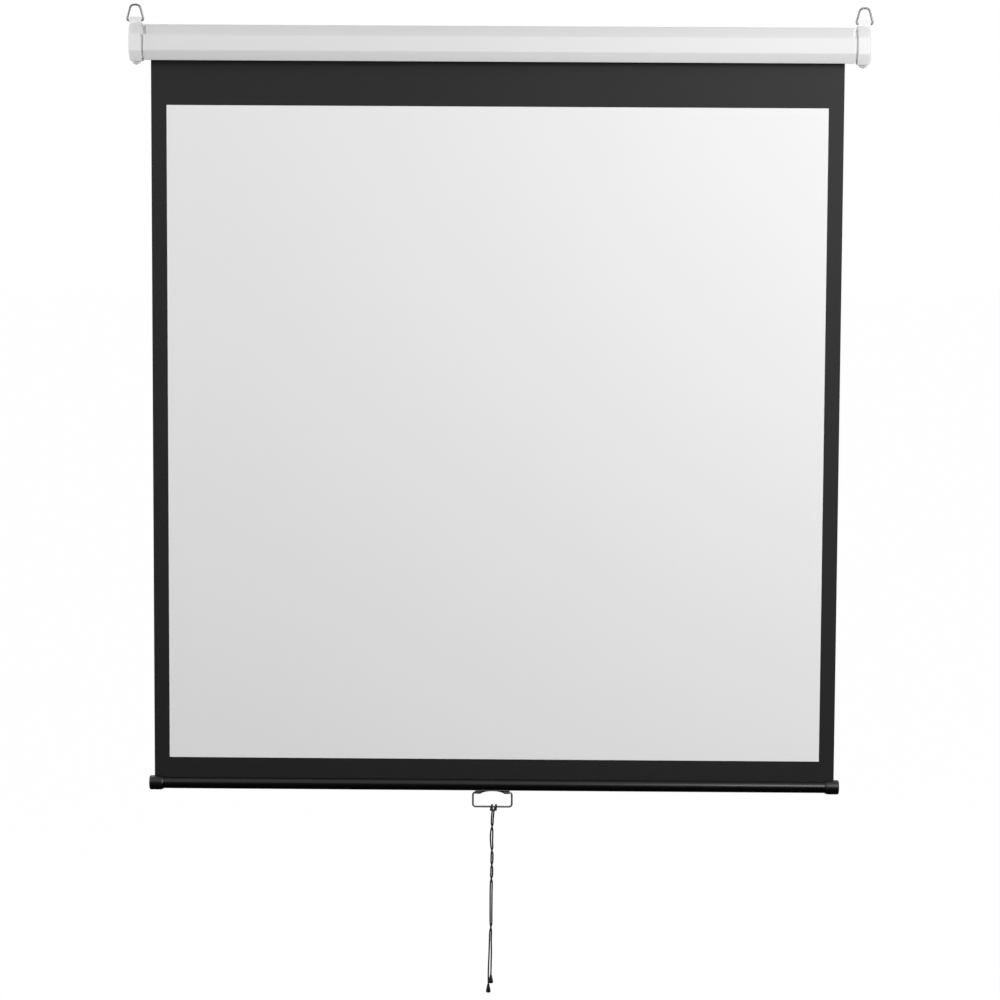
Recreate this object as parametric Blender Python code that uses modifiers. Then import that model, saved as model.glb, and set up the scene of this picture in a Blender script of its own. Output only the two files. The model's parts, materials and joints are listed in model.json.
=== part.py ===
"""A manual pull-down projector screen, made of its separate pieces.

Metres, +Z up. The front faces -Y and +X is to the right of someone who looks at it.
The origin is midway between the two places where hooks bear on the hanging rings.
The sheet is pulled right down, and the pawls are lifted clear of the ratchet.
"""

import math

import bmesh
import bpy
import numpy as np
from mathutils import Euler, Vector

# Gap that parts which touch or run in each other keep
FIT = 0.0003

# Case
OVERALL_LENGTH = 1.671
CASE_DEPTH = 0.076
FRONT_FACET = 0.034
UPPER_FACET_RISE = 0.0235
UPPER_FACET_RUN = 0.022
LOWER_FACET_RISE = 0.0215
LOWER_FACET_RUN = 0.018
CASE_WALL = 0.001
CASE_BEND = 0.002
SLOT_WIDTH = 0.016
SLOT_LIP = 0.006

# End caps
CAP_LENGTH = 0.029
CAP_PROUD = 0.003
CAP_ROUND = 0.008
CAP_CHAMFER = 0.002
CAP_END_WALL = 0.009
CAP_WALL = 0.0025
GROOVE_WIDTH = 0.0047
GROOVE_DEPTH = 0.005
SPIGOT_LENGTH = 0.012
NOTCH_LENGTH_ABOVE = 0.003
NOTCH_LENGTH_BELOW = 0.0085
NOTCH_DEPTH = 0.0045
NOTCH_MARGIN = 0.0015
BOSS_RADIUS = 0.012
SCREW_BOSS_RADIUS = 0.0105
SCREW_BOSS_DROP = 0.007
SCREW_BOSS_SWEEP = math.radians(66)
SCREW_HEAD_RADIUS = 0.0024
SCREW_SHANK_RADIUS = 0.0014
SCREW_LENGTH = 0.010

# Hanging rings and the tabs that carry them
RING_WIRE = 0.0038
RING_HEIGHT = 0.036
RING_WIDTH = 0.0362
RING_TOP_WIDTH = 0.017
RING_CORNER = 0.0075
TAB_FROM_END = 0.0125
PIVOT_ABOVE_CAP = 0.0055
TAB_WIDTH = 0.0277
TAB_THICKNESS = 0.008
TAB_ABOVE_PIVOT = 0.0085
TAB_CORNER = 0.004
TAB_FOOT_WIDTH = 0.018
TAB_FOOT_DEPTH = 0.005
TAB_BORE_DEPTH = 0.005
TAB_RECESS_SHIFT = 0.0044
TAB_RECESS_WIDTH = 0.0078
TAB_RECESS_HEIGHT = 0.0036
TAB_RECESS_DEPTH = 0.0028

# Roller and its spring
ROLLER_BACK_FROM_FRONT = 0.027
TUBE_RADIUS = 0.0175
TUBE_WALL = 0.001
SHAFT_RADIUS = 0.0045
BLADE_THICKNESS = 0.003
BLADE_HEIGHT = 0.008
SOCKET_DEPTH = 0.010
RATCHET_FROM_END = 0.024
RATCHET_THICKNESS = 0.004
RATCHET_RADIUS = 0.009
RATCHET_ROOT = 0.006
NOTCH_ANGLES = (86, 146, 150)
PAWL_PIVOT_RADIUS = 0.0135
PAWL_PIN_RADIUS = 0.0015
PAWL_WIDTH = 0.0026
PAWL_TIP_RADIUS = 0.0072
PAWL_TIP_ANGLE = 144
PAWL_LIFT = 20
HEAD_FROM_END = 0.030
HEAD_THICKNESS = 0.003
HEAD_RADIUS = 0.018
PLUG_LENGTH = 0.027
SPRING_WIRE = 0.0018
SPRING_RADIUS = 0.0085
SPRING_TURNS = 16
SPRING_LENGTH = 0.110
ANCHOR_LENGTH = 0.014
BUSH_LENGTH = 0.012
BUSH_WALL = 0.0027
IDLER_RADIUS = 0.004

# Sheet
PICTURE = 1.500
SIDE_BORDER = 0.035
TOP_BORDER = 0.102
BOTTOM_BORDER = 0.0465
SHEET_THICKNESS = 0.0004
PRINT_THICKNESS = 0.0002
SHEET_SHIFT = -0.004
TURNS_LEFT = 2.25
PRINT_ABOVE_SLOT = 0.010

# Weight bar
BAR_LENGTH = 1.594
BAR_RADIUS = 0.0135
BAR_WALL = 0.0012
BAR_SLOT = 0.0032
BAR_CAP_RADIUS = 0.017
BAR_CAP_LENGTH = 0.028
BAR_CAP_TAPER = 0.0046
BAR_CAP_ROUND = 0.004
BAR_CAP_END = 0.004
HEM_ROD_RADIUS = 0.003
HEM_WALL = 0.0005

# Handle
HANDLE_WIRE = 0.0036
HANDLE_WIDTH = 0.0934
HANDLE_HEIGHT = 0.0335
HANDLE_CORNER = 0.0065
KNUCKLE_LENGTH = 0.013
KNUCKLE_SPREAD = 0.0660
BRACKET_WALL = 0.0012
BRACKET_HALF_ANGLE = 34
RIVET_SPREAD = 0.030
RIVET_HEAD_RADIUS = 0.0028
RIVET_HEAD_HEIGHT = 0.0013
RIVET_RADIUS = 0.0015

# Pull cord
CORD_DIAMETER = 0.0026
HITCH_DROP = 0.0130
HITCH_LEAN = 0.14
BELL_TOP_RADIUS = 0.0024
BELL_RADIUS = 0.0050
SHORT_BELL_LENGTH = 0.0200
LONG_BELL_LENGTH = 0.0210

# What stays between the weight bar's caps and the case when the screen is right up
STOP_GAP = 0.001

# Levels, from the hooks down, and what lies on them
PIVOT_Z = -(RING_HEIGHT - RING_WIRE / 2)
CAP_TOP_Z = PIVOT_Z - PIVOT_ABOVE_CAP
CASE_Z = CAP_TOP_Z - CAP_PROUD - UPPER_FACET_RISE - FRONT_FACET / 2
CASE_BOTTOM_Z = CASE_Z - FRONT_FACET / 2 - LOWER_FACET_RISE
CAP_BOTTOM_Z = CASE_BOTTOM_Z - CAP_PROUD
PICTURE_TOP_Z = CASE_BOTTOM_Z - TOP_BORDER
BAR_Z = PICTURE_TOP_Z - PICTURE - BOTTOM_BORDER - BAR_RADIUS
TRAVEL = CASE_BOTTOM_Z - STOP_GAP - BAR_CAP_RADIUS - BAR_Z

# The roller's axis, and the sheet that leaves the back of the roll
ROLLER_Y = -CASE_DEPTH / 2 + ROLLER_BACK_FROM_FRONT
ROLLER_Z = CASE_Z
TURN_PITCH = SHEET_THICKNESS + FIT
ROLL_RADIUS = TUBE_RADIUS + FIT + SHEET_THICKNESS / 2 + TURN_PITCH * TURNS_LEFT
SHEET_Y = ROLLER_Y + ROLL_RADIUS
SHEET_WIDTH = PICTURE + 2 * SIDE_BORDER
TUBE_BORE = TUBE_RADIUS - TUBE_WALL
TUBE_FROM_END = HEAD_FROM_END + HEAD_THICKNESS + FIT

# The handle's knuckles lie under the bar, and the cord hangs on the handle's lower wire
KNUCKLE_BORE = HANDLE_WIRE / 2 + FIT
KNUCKLE_RADIUS = KNUCKLE_BORE + BRACKET_WALL
HANDLE_Z = BAR_Z - BAR_RADIUS - FIT - BRACKET_WALL / 2 - KNUCKLE_RADIUS
GRIP_Z = HANDLE_Z - HANDLE_HEIGHT
HEM_RADIUS = HEM_ROD_RADIUS + FIT + HEM_WALL
HEM_ROD_Z = BAR_Z + BAR_RADIUS - BAR_WALL - FIT - HEM_RADIUS

# The strands of the cord below the hitch. Each point is how far right of the handle's middle,
# how many cord diameters behind its wire, and how far down. They twist round each other.
SHORT_STRAND = [
    (-0.0046, 0.00, 0.0290), (-0.0024, -0.65, 0.0450), (-0.0005, 0.00, 0.0590),
    (0.0000, 0.00, 0.0740), (-0.0009, 0.00, 0.0880), (-0.0030, 0.65, 0.1000),
    (-0.0052, 0.00, 0.1165), (-0.0031, -0.65, 0.1330), (-0.0014, 0.00, 0.1500),
    (-0.0041, 0.65, 0.1690), (-0.0068, 0.00, 0.1880), (-0.0070, 0.00, 0.2210),
    (-0.0072, 0.00, 0.2540), (-0.0056, -0.65, 0.2850), (-0.0040, 0.00, 0.3200),
    (-0.0045, 0.00, 0.3540), (-0.0048, 0.00, 0.3980),
]
LONG_STRAND = [
    (-0.0004, 0.00, 0.0290), (-0.0024, 0.65, 0.0450), (-0.0059, 0.00, 0.0590),
    (-0.0064, 0.00, 0.0740), (-0.0054, 0.00, 0.0880), (-0.0030, -0.65, 0.1000),
    (-0.0010, 0.00, 0.1165), (-0.0031, 0.65, 0.1330), (-0.0058, 0.00, 0.1500),
    (-0.0041, -0.65, 0.1690), (-0.0020, 0.00, 0.1880), (-0.0020, 0.00, 0.2210),
    (-0.0022, 0.00, 0.2540), (-0.0056, 0.65, 0.2850), (-0.0087, 0.00, 0.3200),
    (-0.0099, 0.50, 0.3540), (-0.0107, 1.30, 0.3900), (-0.0106, 1.30, 0.4205),
]

SMOOTH_ANGLE = math.radians(35)
ALONG_X = Euler((math.pi / 2, 0, math.pi / 2))
ALONG_Y = Euler((math.pi / 2, 0, 0))


# Scene and materials

def clear_scene():
    for thing in list(bpy.data.objects):
        bpy.data.objects.remove(thing, do_unlink=True)


def new_collection(name):
    collection = bpy.data.collections.new(name)
    bpy.context.scene.collection.children.link(collection)
    return collection


def new_material(name, colour, roughness, metallic=0.0):
    material = bpy.data.materials.new(name)
    material.use_nodes = True
    shader = material.node_tree.nodes["Principled BSDF"]
    shader.inputs["Base Color"].default_value = (*colour, 1.0)
    shader.inputs["Roughness"].default_value = roughness
    shader.inputs["Metallic"].default_value = metallic
    return material


clear_scene()
PIECES = new_collection("projector_screen")
CUTTERS = new_collection("cutters")
POWDER_COAT = new_material("white powder coat", (0.80, 0.80, 0.80), 0.45)
WHITE_MOULDING = new_material("white ABS", (0.83, 0.83, 0.83), 0.40)
ZINC = new_material("zinc-plated steel", (0.50, 0.50, 0.48), 0.35, 1.0)
STEEL = new_material("bright steel", (0.45, 0.45, 0.46), 0.30, 1.0)
SPRING_STEEL = new_material("spring steel", (0.20, 0.20, 0.22), 0.40, 1.0)
NYLON = new_material("natural nylon", (0.70, 0.68, 0.60), 0.50)
VINYL = new_material("matt white vinyl", (0.85, 0.85, 0.85), 0.85)
BORDER_INK = new_material("matt black print", (0.02, 0.02, 0.02), 0.80)
BLACK_PAINT = new_material("black paint", (0.015, 0.015, 0.015), 0.35)
BLACK_MOULDING = new_material("black ABS", (0.012, 0.012, 0.012), 0.35)
BLACK_CORD = new_material("black braided polyester", (0.01, 0.01, 0.01), 0.75)


# Modelling helpers

def finish(piece, name, material):
    """Names a piece, puts it among the pieces and gives it its material."""
    piece.name = name
    piece.data.name = name
    for owner in list(piece.users_collection):
        owner.objects.unlink(piece)
    PIECES.objects.link(piece)
    piece.data.materials.clear()
    piece.data.materials.append(material)
    if piece.type == "MESH":
        piece.data.shade_smooth()
        piece.data.set_sharp_from_angle(angle=SMOOTH_ANGLE)
    return piece


def boolean(piece, other, operation):
    """Cuts or joins with other, which becomes a hidden cutter."""
    other.name = piece.name + "_" + operation.lower()
    other.hide_render = True
    other.display_type = "WIRE"
    for owner in list(other.users_collection):
        owner.objects.unlink(other)
    CUTTERS.objects.link(other)
    modifier = piece.modifiers.new(operation.title(), "BOOLEAN")
    modifier.operation = operation
    modifier.object = other
    return piece


def cut(piece, cutter):
    return boolean(piece, cutter, "DIFFERENCE")


def join(piece, other):
    return boolean(piece, other, "UNION")


def new_curve(name, dimensions="3D"):
    curve = bpy.data.curves.new(name, "CURVE")
    curve.dimensions = dimensions
    piece = bpy.data.objects.new(name, curve)
    bpy.context.scene.collection.objects.link(piece)
    return piece


def add_spline(curve, points, cyclic):
    spline = curve.splines.new("POLY")
    spline.points.add(len(points) - 1)
    for spot, point in zip(spline.points, points):
        spot.co = (*point, *([0.0] * (3 - len(point))), 1.0)
    spline.use_cyclic_u = cyclic


def as_mesh(piece):
    """A curve's mesh, as a new object in the curve's place, with its caps welded on."""
    bpy.context.view_layer.update()
    evaluated = piece.evaluated_get(bpy.context.evaluated_depsgraph_get())
    mesh = bpy.data.meshes.new_from_object(evaluated)
    solid = bpy.data.objects.new(piece.name, mesh)
    solid.matrix_world = piece.matrix_world
    bpy.context.scene.collection.objects.link(solid)
    bpy.data.objects.remove(piece, do_unlink=True)
    edit_mesh(solid, lambda shape: bmesh.ops.remove_doubles(shape, verts=shape.verts, dist=1e-6))
    return solid


def edit_mesh(solid, change):
    shape = bmesh.new()
    shape.from_mesh(solid.data)
    change(shape)
    shape.to_mesh(solid.data)
    shape.free()


def plate(outlines, start, end, origin, turn=ALONG_X):
    """A flat outline, with any holes, between two places along the axis that turn faces it to.
    The outlines are (y, z) about origin for ALONG_X, and (x, z) for ALONG_Y."""
    piece = new_curve("plate", "2D")
    piece.data.fill_mode = "BOTH"
    piece.data.extrude = abs(end - start) / 2
    for outline in outlines:
        add_spline(piece.data, outline, True)
    centre = Vector(origin)
    centre["xy".index("x" if turn is ALONG_X else "y")] = (start + end) / 2
    piece.location = centre
    piece.rotation_euler = turn
    return piece


def prism(outline, start, end, origin, turn=ALONG_X):
    return as_mesh(plate([outline], start, end, origin, turn))


def hang_from(name, place, pieces):
    """Parents pieces to an empty on the axis that they turn about, and leaves them in place."""
    pivot = bpy.data.objects.new(name, None)
    pivot.empty_display_size = 0.01
    PIECES.objects.link(pivot)
    pivot.location = place
    bpy.context.view_layer.update()
    for piece in pieces:
        piece.parent = pivot
        piece.matrix_parent_inverse = pivot.matrix_world.inverted()


def loft(rings):
    """A solid through rings of points that match one to one, with both its ends filled."""
    shape = bmesh.new()
    loops = [[shape.verts.new(point) for point in ring] for ring in rings]
    for first, second in zip(loops, loops[1:]):
        for k, corner in enumerate(first):
            shape.faces.new((first[k - 1], corner, second[k], second[k - 1]))
    shape.faces.new(loops[0])
    shape.faces.new(loops[-1])
    bmesh.ops.recalc_face_normals(shape, faces=shape.faces)
    mesh = bpy.data.meshes.new("loft")
    shape.to_mesh(mesh)
    shape.free()
    piece = bpy.data.objects.new("loft", mesh)
    bpy.context.scene.collection.objects.link(piece)
    return piece


def put_origin(piece, place):
    """Moves a mesh's origin without moving the mesh."""
    bpy.context.view_layer.update()
    piece.data.transform(piece.matrix_world)
    piece.data.transform(piece.matrix_world.Translation(-Vector(place)))
    piece.matrix_world = piece.matrix_world.Translation(Vector(place))
    return piece


def turned(profile, place, direction, steps=32):
    """A profile of (radius, height) from the top down its outer side, turned about an axis.
    Height is measured from place along direction. A profile that leaves the axis free is closed."""
    mesh = bpy.data.meshes.new("turned")
    shape = bmesh.new()
    corners = [shape.verts.new((radius, 0, height)) for radius, height in profile]
    for first, second in zip(corners, corners[1:]):
        shape.edges.new((first, second))
    if profile[0][0] > 0:
        shape.edges.new((corners[-1], corners[0]))
    shape.to_mesh(mesh)
    shape.free()
    piece = bpy.data.objects.new("turned", mesh)
    bpy.context.scene.collection.objects.link(piece)
    piece.location = place
    piece.rotation_euler = Vector((0, 0, 1)).rotation_difference(Vector(direction)).to_euler()
    screw = piece.modifiers.new("Screw", "SCREW")
    screw.steps = steps
    screw.render_steps = steps
    screw.use_merge_vertices = True
    screw.merge_threshold = 1e-6
    return piece


def washer(outer, inner, start, end):
    """Profile of a plain ring between two heights, for turned."""
    return [(inner, end), (outer, end), (outer, start), (inner, start)]


def rod(radius, start, end):
    """Profile of a plain round rod between two heights, for turned."""
    return [(0, end), (radius, end), (radius, start), (0, start)]


def wire(points, diameter, place, resolution=2):
    piece = new_curve("wire")
    piece.data.bevel_depth = diameter / 2
    piece.data.bevel_resolution = resolution
    piece.data.use_fill_caps = True
    add_spline(piece.data, points, False)
    piece.location = place
    return piece


# Geometry helpers

def moved_in(corners, inset):
    """A convex anticlockwise outline with its sides moved in, or out for a negative inset."""
    points = [Vector(corner) for corner in corners]
    moved = []
    for before, here, after in zip(points[-1:] + points[:-1], points, points[1:] + points[:1]):
        towards = (here - before).normalized()
        away = (after - here).normalized()
        inwards = Vector((-towards.y - away.y, towards.x + away.x))
        moved.append(here + inwards * inset / (1 + towards.dot(away)))
    return moved


def clipped(corners, width):
    """An outline with each corner cut off at the given distance along both its sides."""
    points = [Vector(corner) for corner in corners]
    outline = []
    for before, here, after in zip(points[-1:] + points[:-1], points, points[1:] + points[:1]):
        outline.append(here + (before - here).normalized() * width)
        outline.append(here + (after - here).normalized() * width)
    return outline


def arc(radius, start, end, steps, centre=(0, 0)):
    """Points of an arc in degrees, both ends included."""
    angles = np.radians(np.linspace(start, end, steps + 1))
    return [(centre[0] + radius * math.cos(a), centre[1] + radius * math.sin(a)) for a in angles]


def circle(radius, steps=24, centre=(0, 0)):
    return arc(radius, 0, 360, steps, centre)[:-1]


def rectangle(width, low, high, centre=SHEET_SHIFT):
    left, right = centre - width / 2, centre + width / 2
    return [(left, low), (right, low), (right, high), (left, high)]


def rounded_path(corners, radius, steps=4):
    """A path through the corners with an arc in place of each inner corner."""
    points = [Vector(corner) for corner in corners]
    path = [points[0]]
    for before, here, after in zip(points, points[1:], points[2:]):
        towards = (here - before).normalized()
        away = (after - here).normalized()
        turn = towards.angle(away)
        side = (away - towards * towards.dot(away)).normalized()
        start = here - towards * radius * math.tan(turn / 2)
        for step in range(steps + 1):
            angle = turn * step / steps
            bend = towards * math.sin(angle) + side * (1 - math.cos(angle))
            path.append(start + bend * radius)
    return [*path, points[-1]]


def smooth_path(route, steps):
    """Points along a smooth curve through those of a route, with steps of them to each leg."""
    knots = np.array(route, float)
    knots = np.vstack([2 * knots[0] - knots[1], knots, 2 * knots[-1] - knots[-2]])
    share = np.linspace(0, 1, steps, endpoint=False)[:, None]
    path = []
    for a, b, c, d in zip(knots, knots[1:], knots[2:], knots[3:]):
        slope = (c - a) / 2
        bend = (2 * a - 5 * b + 4 * c - d) / 2
        twist = (3 * b - a - 3 * c + d) / 2
        path.extend(b + slope * share + bend * share**2 + twist * share**3)
    return [*path, knots[-2]]


def report_gap(name, path, diameter):
    """Prints the least gap of a tube to itself, leaving out each point's own stretch."""
    points = np.array(path, float)
    along = np.concatenate([[0], np.cumsum(np.linalg.norm(np.diff(points, axis=0), axis=1))])
    far = np.abs(np.subtract.outer(along, along)) > 3 * diameter
    apart = np.linalg.norm(points[:, None] - points[None], axis=2)
    print(f"{name}: least gap to itself {(apart[far].min() - diameter) * 1000:.2f} mm")


def from_end(side, distance):
    """World x of a place that lies inside the outer face of the left (-1) or right (1) cap."""
    return side * (OVERALL_LENGTH / 2 - distance)


def case_outline(inset=0.0):
    """The case's outer section, as (y, z) about its middle, with its sides moved in."""
    back = CASE_DEPTH / 2
    top = FRONT_FACET / 2 + UPPER_FACET_RISE
    bottom = -FRONT_FACET / 2 - LOWER_FACET_RISE
    corners = [
        (-back + LOWER_FACET_RUN, bottom), (back - LOWER_FACET_RUN, bottom),
        (back, -FRONT_FACET / 2), (back, FRONT_FACET / 2),
        (back - UPPER_FACET_RUN, top), (-back + UPPER_FACET_RUN, top),
        (-back, FRONT_FACET / 2), (-back, -FRONT_FACET / 2),
    ]
    return moved_in(corners, inset)


# Case

def notch_cutter(side):
    """Cuts the notch in the upper front facet, longer at the facet's foot than at its top."""
    high, low = case_outline()[5:7]
    along = (low - high).normalized()
    outwards = Vector((along.y, -along.x))
    high = high + along * NOTCH_MARGIN
    low = low - along * NOTCH_MARGIN
    above, below = outwards * CAP_PROUD / 2, -outwards * NOTCH_DEPTH
    shell_end = CAP_LENGTH + GROOVE_WIDTH
    start = shell_end - GROOVE_WIDTH / 2
    corners = [
        (high + above, shell_end + NOTCH_LENGTH_ABOVE), (high + below, shell_end + NOTCH_LENGTH_ABOVE),
        (low + below, shell_end + NOTCH_LENGTH_BELOW), (low + above, shell_end + NOTCH_LENGTH_BELOW),
    ]
    return loft([
        [(from_end(side, start), point.x, CASE_Z + point.y) for point, _ in corners],
        [(from_end(side, end), point.x, CASE_Z + point.y) for point, end in corners],
    ])


def case_shell():
    corners = case_outline()
    front_bottom, back_bottom = corners[0], corners[1]
    slot_front = SHEET_Y - SLOT_WIDTH / 2
    slot_back = SHEET_Y + SLOT_WIDTH / 2
    lip_top = front_bottom.y + SLOT_LIP
    path = [
        (slot_front, lip_top), (slot_front, front_bottom.y), *corners[:1], *corners[:1:-1],
        back_bottom, (slot_back, back_bottom.y), (slot_back, lip_top),
    ]
    length = OVERALL_LENGTH - 2 * (CAP_LENGTH + GROOVE_WIDTH)
    shape = bmesh.new()
    points = [shape.verts.new((-length / 2, y, z)) for y, z in path]
    edges = [shape.edges.new(pair) for pair in zip(points, points[1:])]
    pulled = bmesh.ops.extrude_edge_only(shape, edges=edges)["geom"]
    moved = [piece for piece in pulled if isinstance(piece, bmesh.types.BMVert)]
    bmesh.ops.translate(shape, verts=moved, vec=(length, 0, 0))
    bmesh.ops.recalc_face_normals(shape, faces=shape.faces)
    mesh = bpy.data.meshes.new("case_shell")
    shape.to_mesh(mesh)
    shape.free()
    shell = bpy.data.objects.new("case_shell", mesh)
    bpy.context.scene.collection.objects.link(shell)
    shell.location = (0, 0, CASE_Z)
    bends = shell.modifiers.new("Bends", "BEVEL")
    bends.width = CASE_BEND
    bends.segments = 2
    bends.limit_method = "ANGLE"
    wall = shell.modifiers.new("Sheet metal", "SOLIDIFY")
    wall.thickness = CASE_WALL
    wall.offset = -1
    wall.use_even_offset = True
    for side in (-1, 1):
        cut(shell, notch_cutter(side))
    return finish(shell, "case_shell", POWDER_COAT)


# End caps

def rounded_flange(side):
    """The part of a cap that shows: its outer edge well rounded, its inner edge chamfered."""
    rings = []
    for angle in np.linspace(math.pi / 2, 0, 5):
        rings.append((CAP_ROUND * (1 - math.sin(angle)), CAP_ROUND * (1 - math.cos(angle))))
    rings.append((CAP_LENGTH - CAP_CHAMFER, 0))
    rings.append((CAP_LENGTH, CAP_CHAMFER))
    flange = loft([
        [(from_end(side, depth), y, CASE_Z + z) for y, z in case_outline(inset - CAP_PROUD)]
        for depth, inset in rings
    ])
    return put_origin(flange, (from_end(side, 0), 0, CASE_Z))


def screw_boss(side):
    """The round boss under a cap, with a counterbore for the screw's head."""
    centre = (from_end(side, CAP_LENGTH / 2), 0, CAP_BOTTOM_Z)
    dome = [
        (SCREW_BOSS_RADIUS * math.cos(angle), -SCREW_BOSS_DROP * math.sin(angle))
        for angle in np.linspace(0, SCREW_BOSS_SWEEP, 6)
    ]
    top = CAP_END_WALL / 2
    return turned([(0, top), (SCREW_BOSS_RADIUS, top), *dome, (0, dome[-1][1])], centre, (0, 0, 1), 24)


def lip_gap(side):
    """Opens the bottom of a cap's spigot where the lips of the case's slot stand."""
    low = case_outline()[0].y - CASE_WALL
    outline = rectangle(SLOT_WIDTH + 2 * CASE_WALL + 2 * FIT, low, low + 2 * SLOT_LIP, 0)
    start = CAP_LENGTH + GROOVE_WIDTH - FIT
    place = (0, SHEET_Y, CASE_Z)
    return prism(outline, from_end(side, start), from_end(side, start + 2 * SPIGOT_LENGTH), place)


def end_cap(side, name):
    cap = rounded_flange(side)
    inset = CASE_WALL + FIT
    groove = CAP_LENGTH + GROOVE_WIDTH
    centre = (0, 0, CASE_Z)
    roller = (0, ROLLER_Y, ROLLER_Z)
    overlap = CAP_WALL / 2
    join(cap, prism(case_outline(GROOVE_DEPTH), from_end(side, CAP_LENGTH - overlap),
                    from_end(side, groove + overlap), centre))
    spigot = clipped(case_outline(inset), CASE_BEND)
    join(cap, prism(spigot, from_end(side, groove), from_end(side, groove + SPIGOT_LENGTH), centre))
    cut(cap, prism(case_outline(GROOVE_DEPTH + CAP_WALL), from_end(side, CAP_END_WALL),
                   from_end(side, groove + 2 * SPIGOT_LENGTH), centre))
    cut(cap, lip_gap(side))
    socket_end = CAP_END_WALL + SOCKET_DEPTH + (BUSH_LENGTH - SOCKET_DEPTH if side > 0 else 0)
    join(cap, prism(circle(BOSS_RADIUS), from_end(side, CAP_END_WALL - overlap),
                    from_end(side, socket_end), roller))
    socket_start = from_end(side, CAP_END_WALL)
    beyond = from_end(side, socket_end + overlap)
    if side < 0:
        reach = BLADE_HEIGHT / 2 + FIT
        slot = rectangle(BLADE_THICKNESS + 2 * FIT, -reach, reach, 0)
        cut(cap, prism(slot, socket_start, beyond, roller))
    else:
        bore = IDLER_RADIUS + FIT + BUSH_WALL + FIT
        cut(cap, prism(circle(bore), socket_start, beyond, roller))
    join(cap, screw_boss(side))
    boss_bottom = CAP_BOTTOM_Z - SCREW_BOSS_DROP * math.sin(SCREW_BOSS_SWEEP)
    screw_place = (from_end(side, CAP_LENGTH / 2), 0, boss_bottom)
    head_depth = SCREW_HEAD_RADIUS / 2
    hole = [
        (0, SCREW_LENGTH + FIT), (SCREW_SHANK_RADIUS + FIT, SCREW_LENGTH + FIT),
        (SCREW_SHANK_RADIUS + FIT, head_depth), (SCREW_HEAD_RADIUS + FIT, head_depth),
        (SCREW_HEAD_RADIUS + FIT, -head_depth), (0, -head_depth),
    ]
    cut(cap, turned(hole, screw_place, (0, 0, 1), 20))
    cut(cap, tab_pocket(side))
    cut(cap, notch_cutter(side))
    finish(cap, name, WHITE_MOULDING)
    screw = [
        (0, SCREW_LENGTH), (SCREW_SHANK_RADIUS, SCREW_LENGTH), (SCREW_SHANK_RADIUS, head_depth - FIT),
        (SCREW_HEAD_RADIUS, head_depth - FIT), (SCREW_HEAD_RADIUS, -FIT),
        (SCREW_HEAD_RADIUS * 0.6, -head_depth), (0, -head_depth),
    ]
    finish(turned(screw, screw_place, (0, 0, 1), 20), name + "_screw", STEEL)


# Hanging tabs and rings

def tab_centre(side):
    return Vector((from_end(side, TAB_FROM_END), 0, PIVOT_Z))


def tab_pocket(side):
    """The pocket in a cap's top that the tab's foot drops into."""
    floor = -PIVOT_ABOVE_CAP - TAB_FOOT_DEPTH - FIT
    outline = rectangle(TAB_FOOT_WIDTH + 2 * FIT, floor, 0, 0)
    depth = TAB_THICKNESS / 2
    return prism(outline, -depth, depth, tab_centre(side), ALONG_Y)


def hanger_tab(side, name):
    centre = tab_centre(side)
    half = TAB_WIDTH / 2
    seat = -PIVOT_ABOVE_CAP + FIT
    foot_bottom = -PIVOT_ABOVE_CAP - TAB_FOOT_DEPTH
    shoulder = half - TAB_CORNER
    crown = TAB_ABOVE_PIVOT - TAB_CORNER
    depth = TAB_THICKNESS / 2
    outline = [
        (half, seat), *arc(TAB_CORNER, 0, 90, 4, (shoulder, crown)),
        *arc(TAB_CORNER, 90, 180, 4, (-shoulder, crown)), (-half, seat),
    ]
    tab = prism(outline, -depth, depth, centre, ALONG_Y)
    put_origin(tab, centre)
    lug = rectangle(TAB_FOOT_WIDTH, foot_bottom, seat + FIT, 0)
    join(tab, prism(lug, FIT - depth, depth - FIT, centre, ALONG_Y))
    for hand in (-1, 1):
        bore = circle(RING_WIRE / 2 + FIT, 16)
        inner = centre.x + hand * (half - TAB_BORE_DEPTH)
        outer = centre.x + hand * (half + TAB_CORNER)
        cut(tab, prism(bore, inner, outer, (0, centre.y, centre.z)))
        low = seat + 2 * FIT
        middle = -side * TAB_RECESS_SHIFT
        window = rectangle(TAB_RECESS_WIDTH, low, low + TAB_RECESS_HEIGHT, middle)
        face = hand * TAB_THICKNESS
        floor = hand * (TAB_THICKNESS / 2 - TAB_RECESS_DEPTH)
        cut(tab, prism(window, floor, face, centre, ALONG_Y))
    return finish(tab, name, WHITE_MOULDING)


def hanging_ring(side, name):
    """A wire triangle with a flat rounded top, whose feet turn in to the tab's bores."""
    foot = TAB_WIDTH / 2 - TAB_BORE_DEPTH + FIT
    shoulder = RING_HEIGHT * 0.14
    half = [
        (foot, 0, 0), (RING_WIDTH / 2 - RING_WIRE / 3, 0, 0), (RING_WIDTH / 2, 0, shoulder),
        (RING_TOP_WIDTH / 2, 0, RING_HEIGHT),
    ]
    corners = [(-x, y, z) for x, y, z in half] + half[::-1]
    left = rounded_path(corners[:4], RING_WIRE * 0.75)[:-1]
    top = rounded_path(corners[2:6], RING_CORNER)[1:-1]
    right = [(-x, y, z) for x, y, z in left[::-1]]
    ring = wire([*left, *top, *right], RING_WIRE, tab_centre(side))
    return finish(ring, name, ZINC)


# Roller

def roller_place(side, distance):
    return (from_end(side, distance), ROLLER_Y, ROLLER_Z)


def roller_tube():
    start, end = from_end(-1, TUBE_FROM_END), from_end(1, TUBE_FROM_END)
    tube = plate([circle(TUBE_RADIUS, 32), circle(TUBE_BORE, 32)], start, end, (0, ROLLER_Y, ROLLER_Z))
    return finish(tube, "roller_tube", STEEL)


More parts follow.
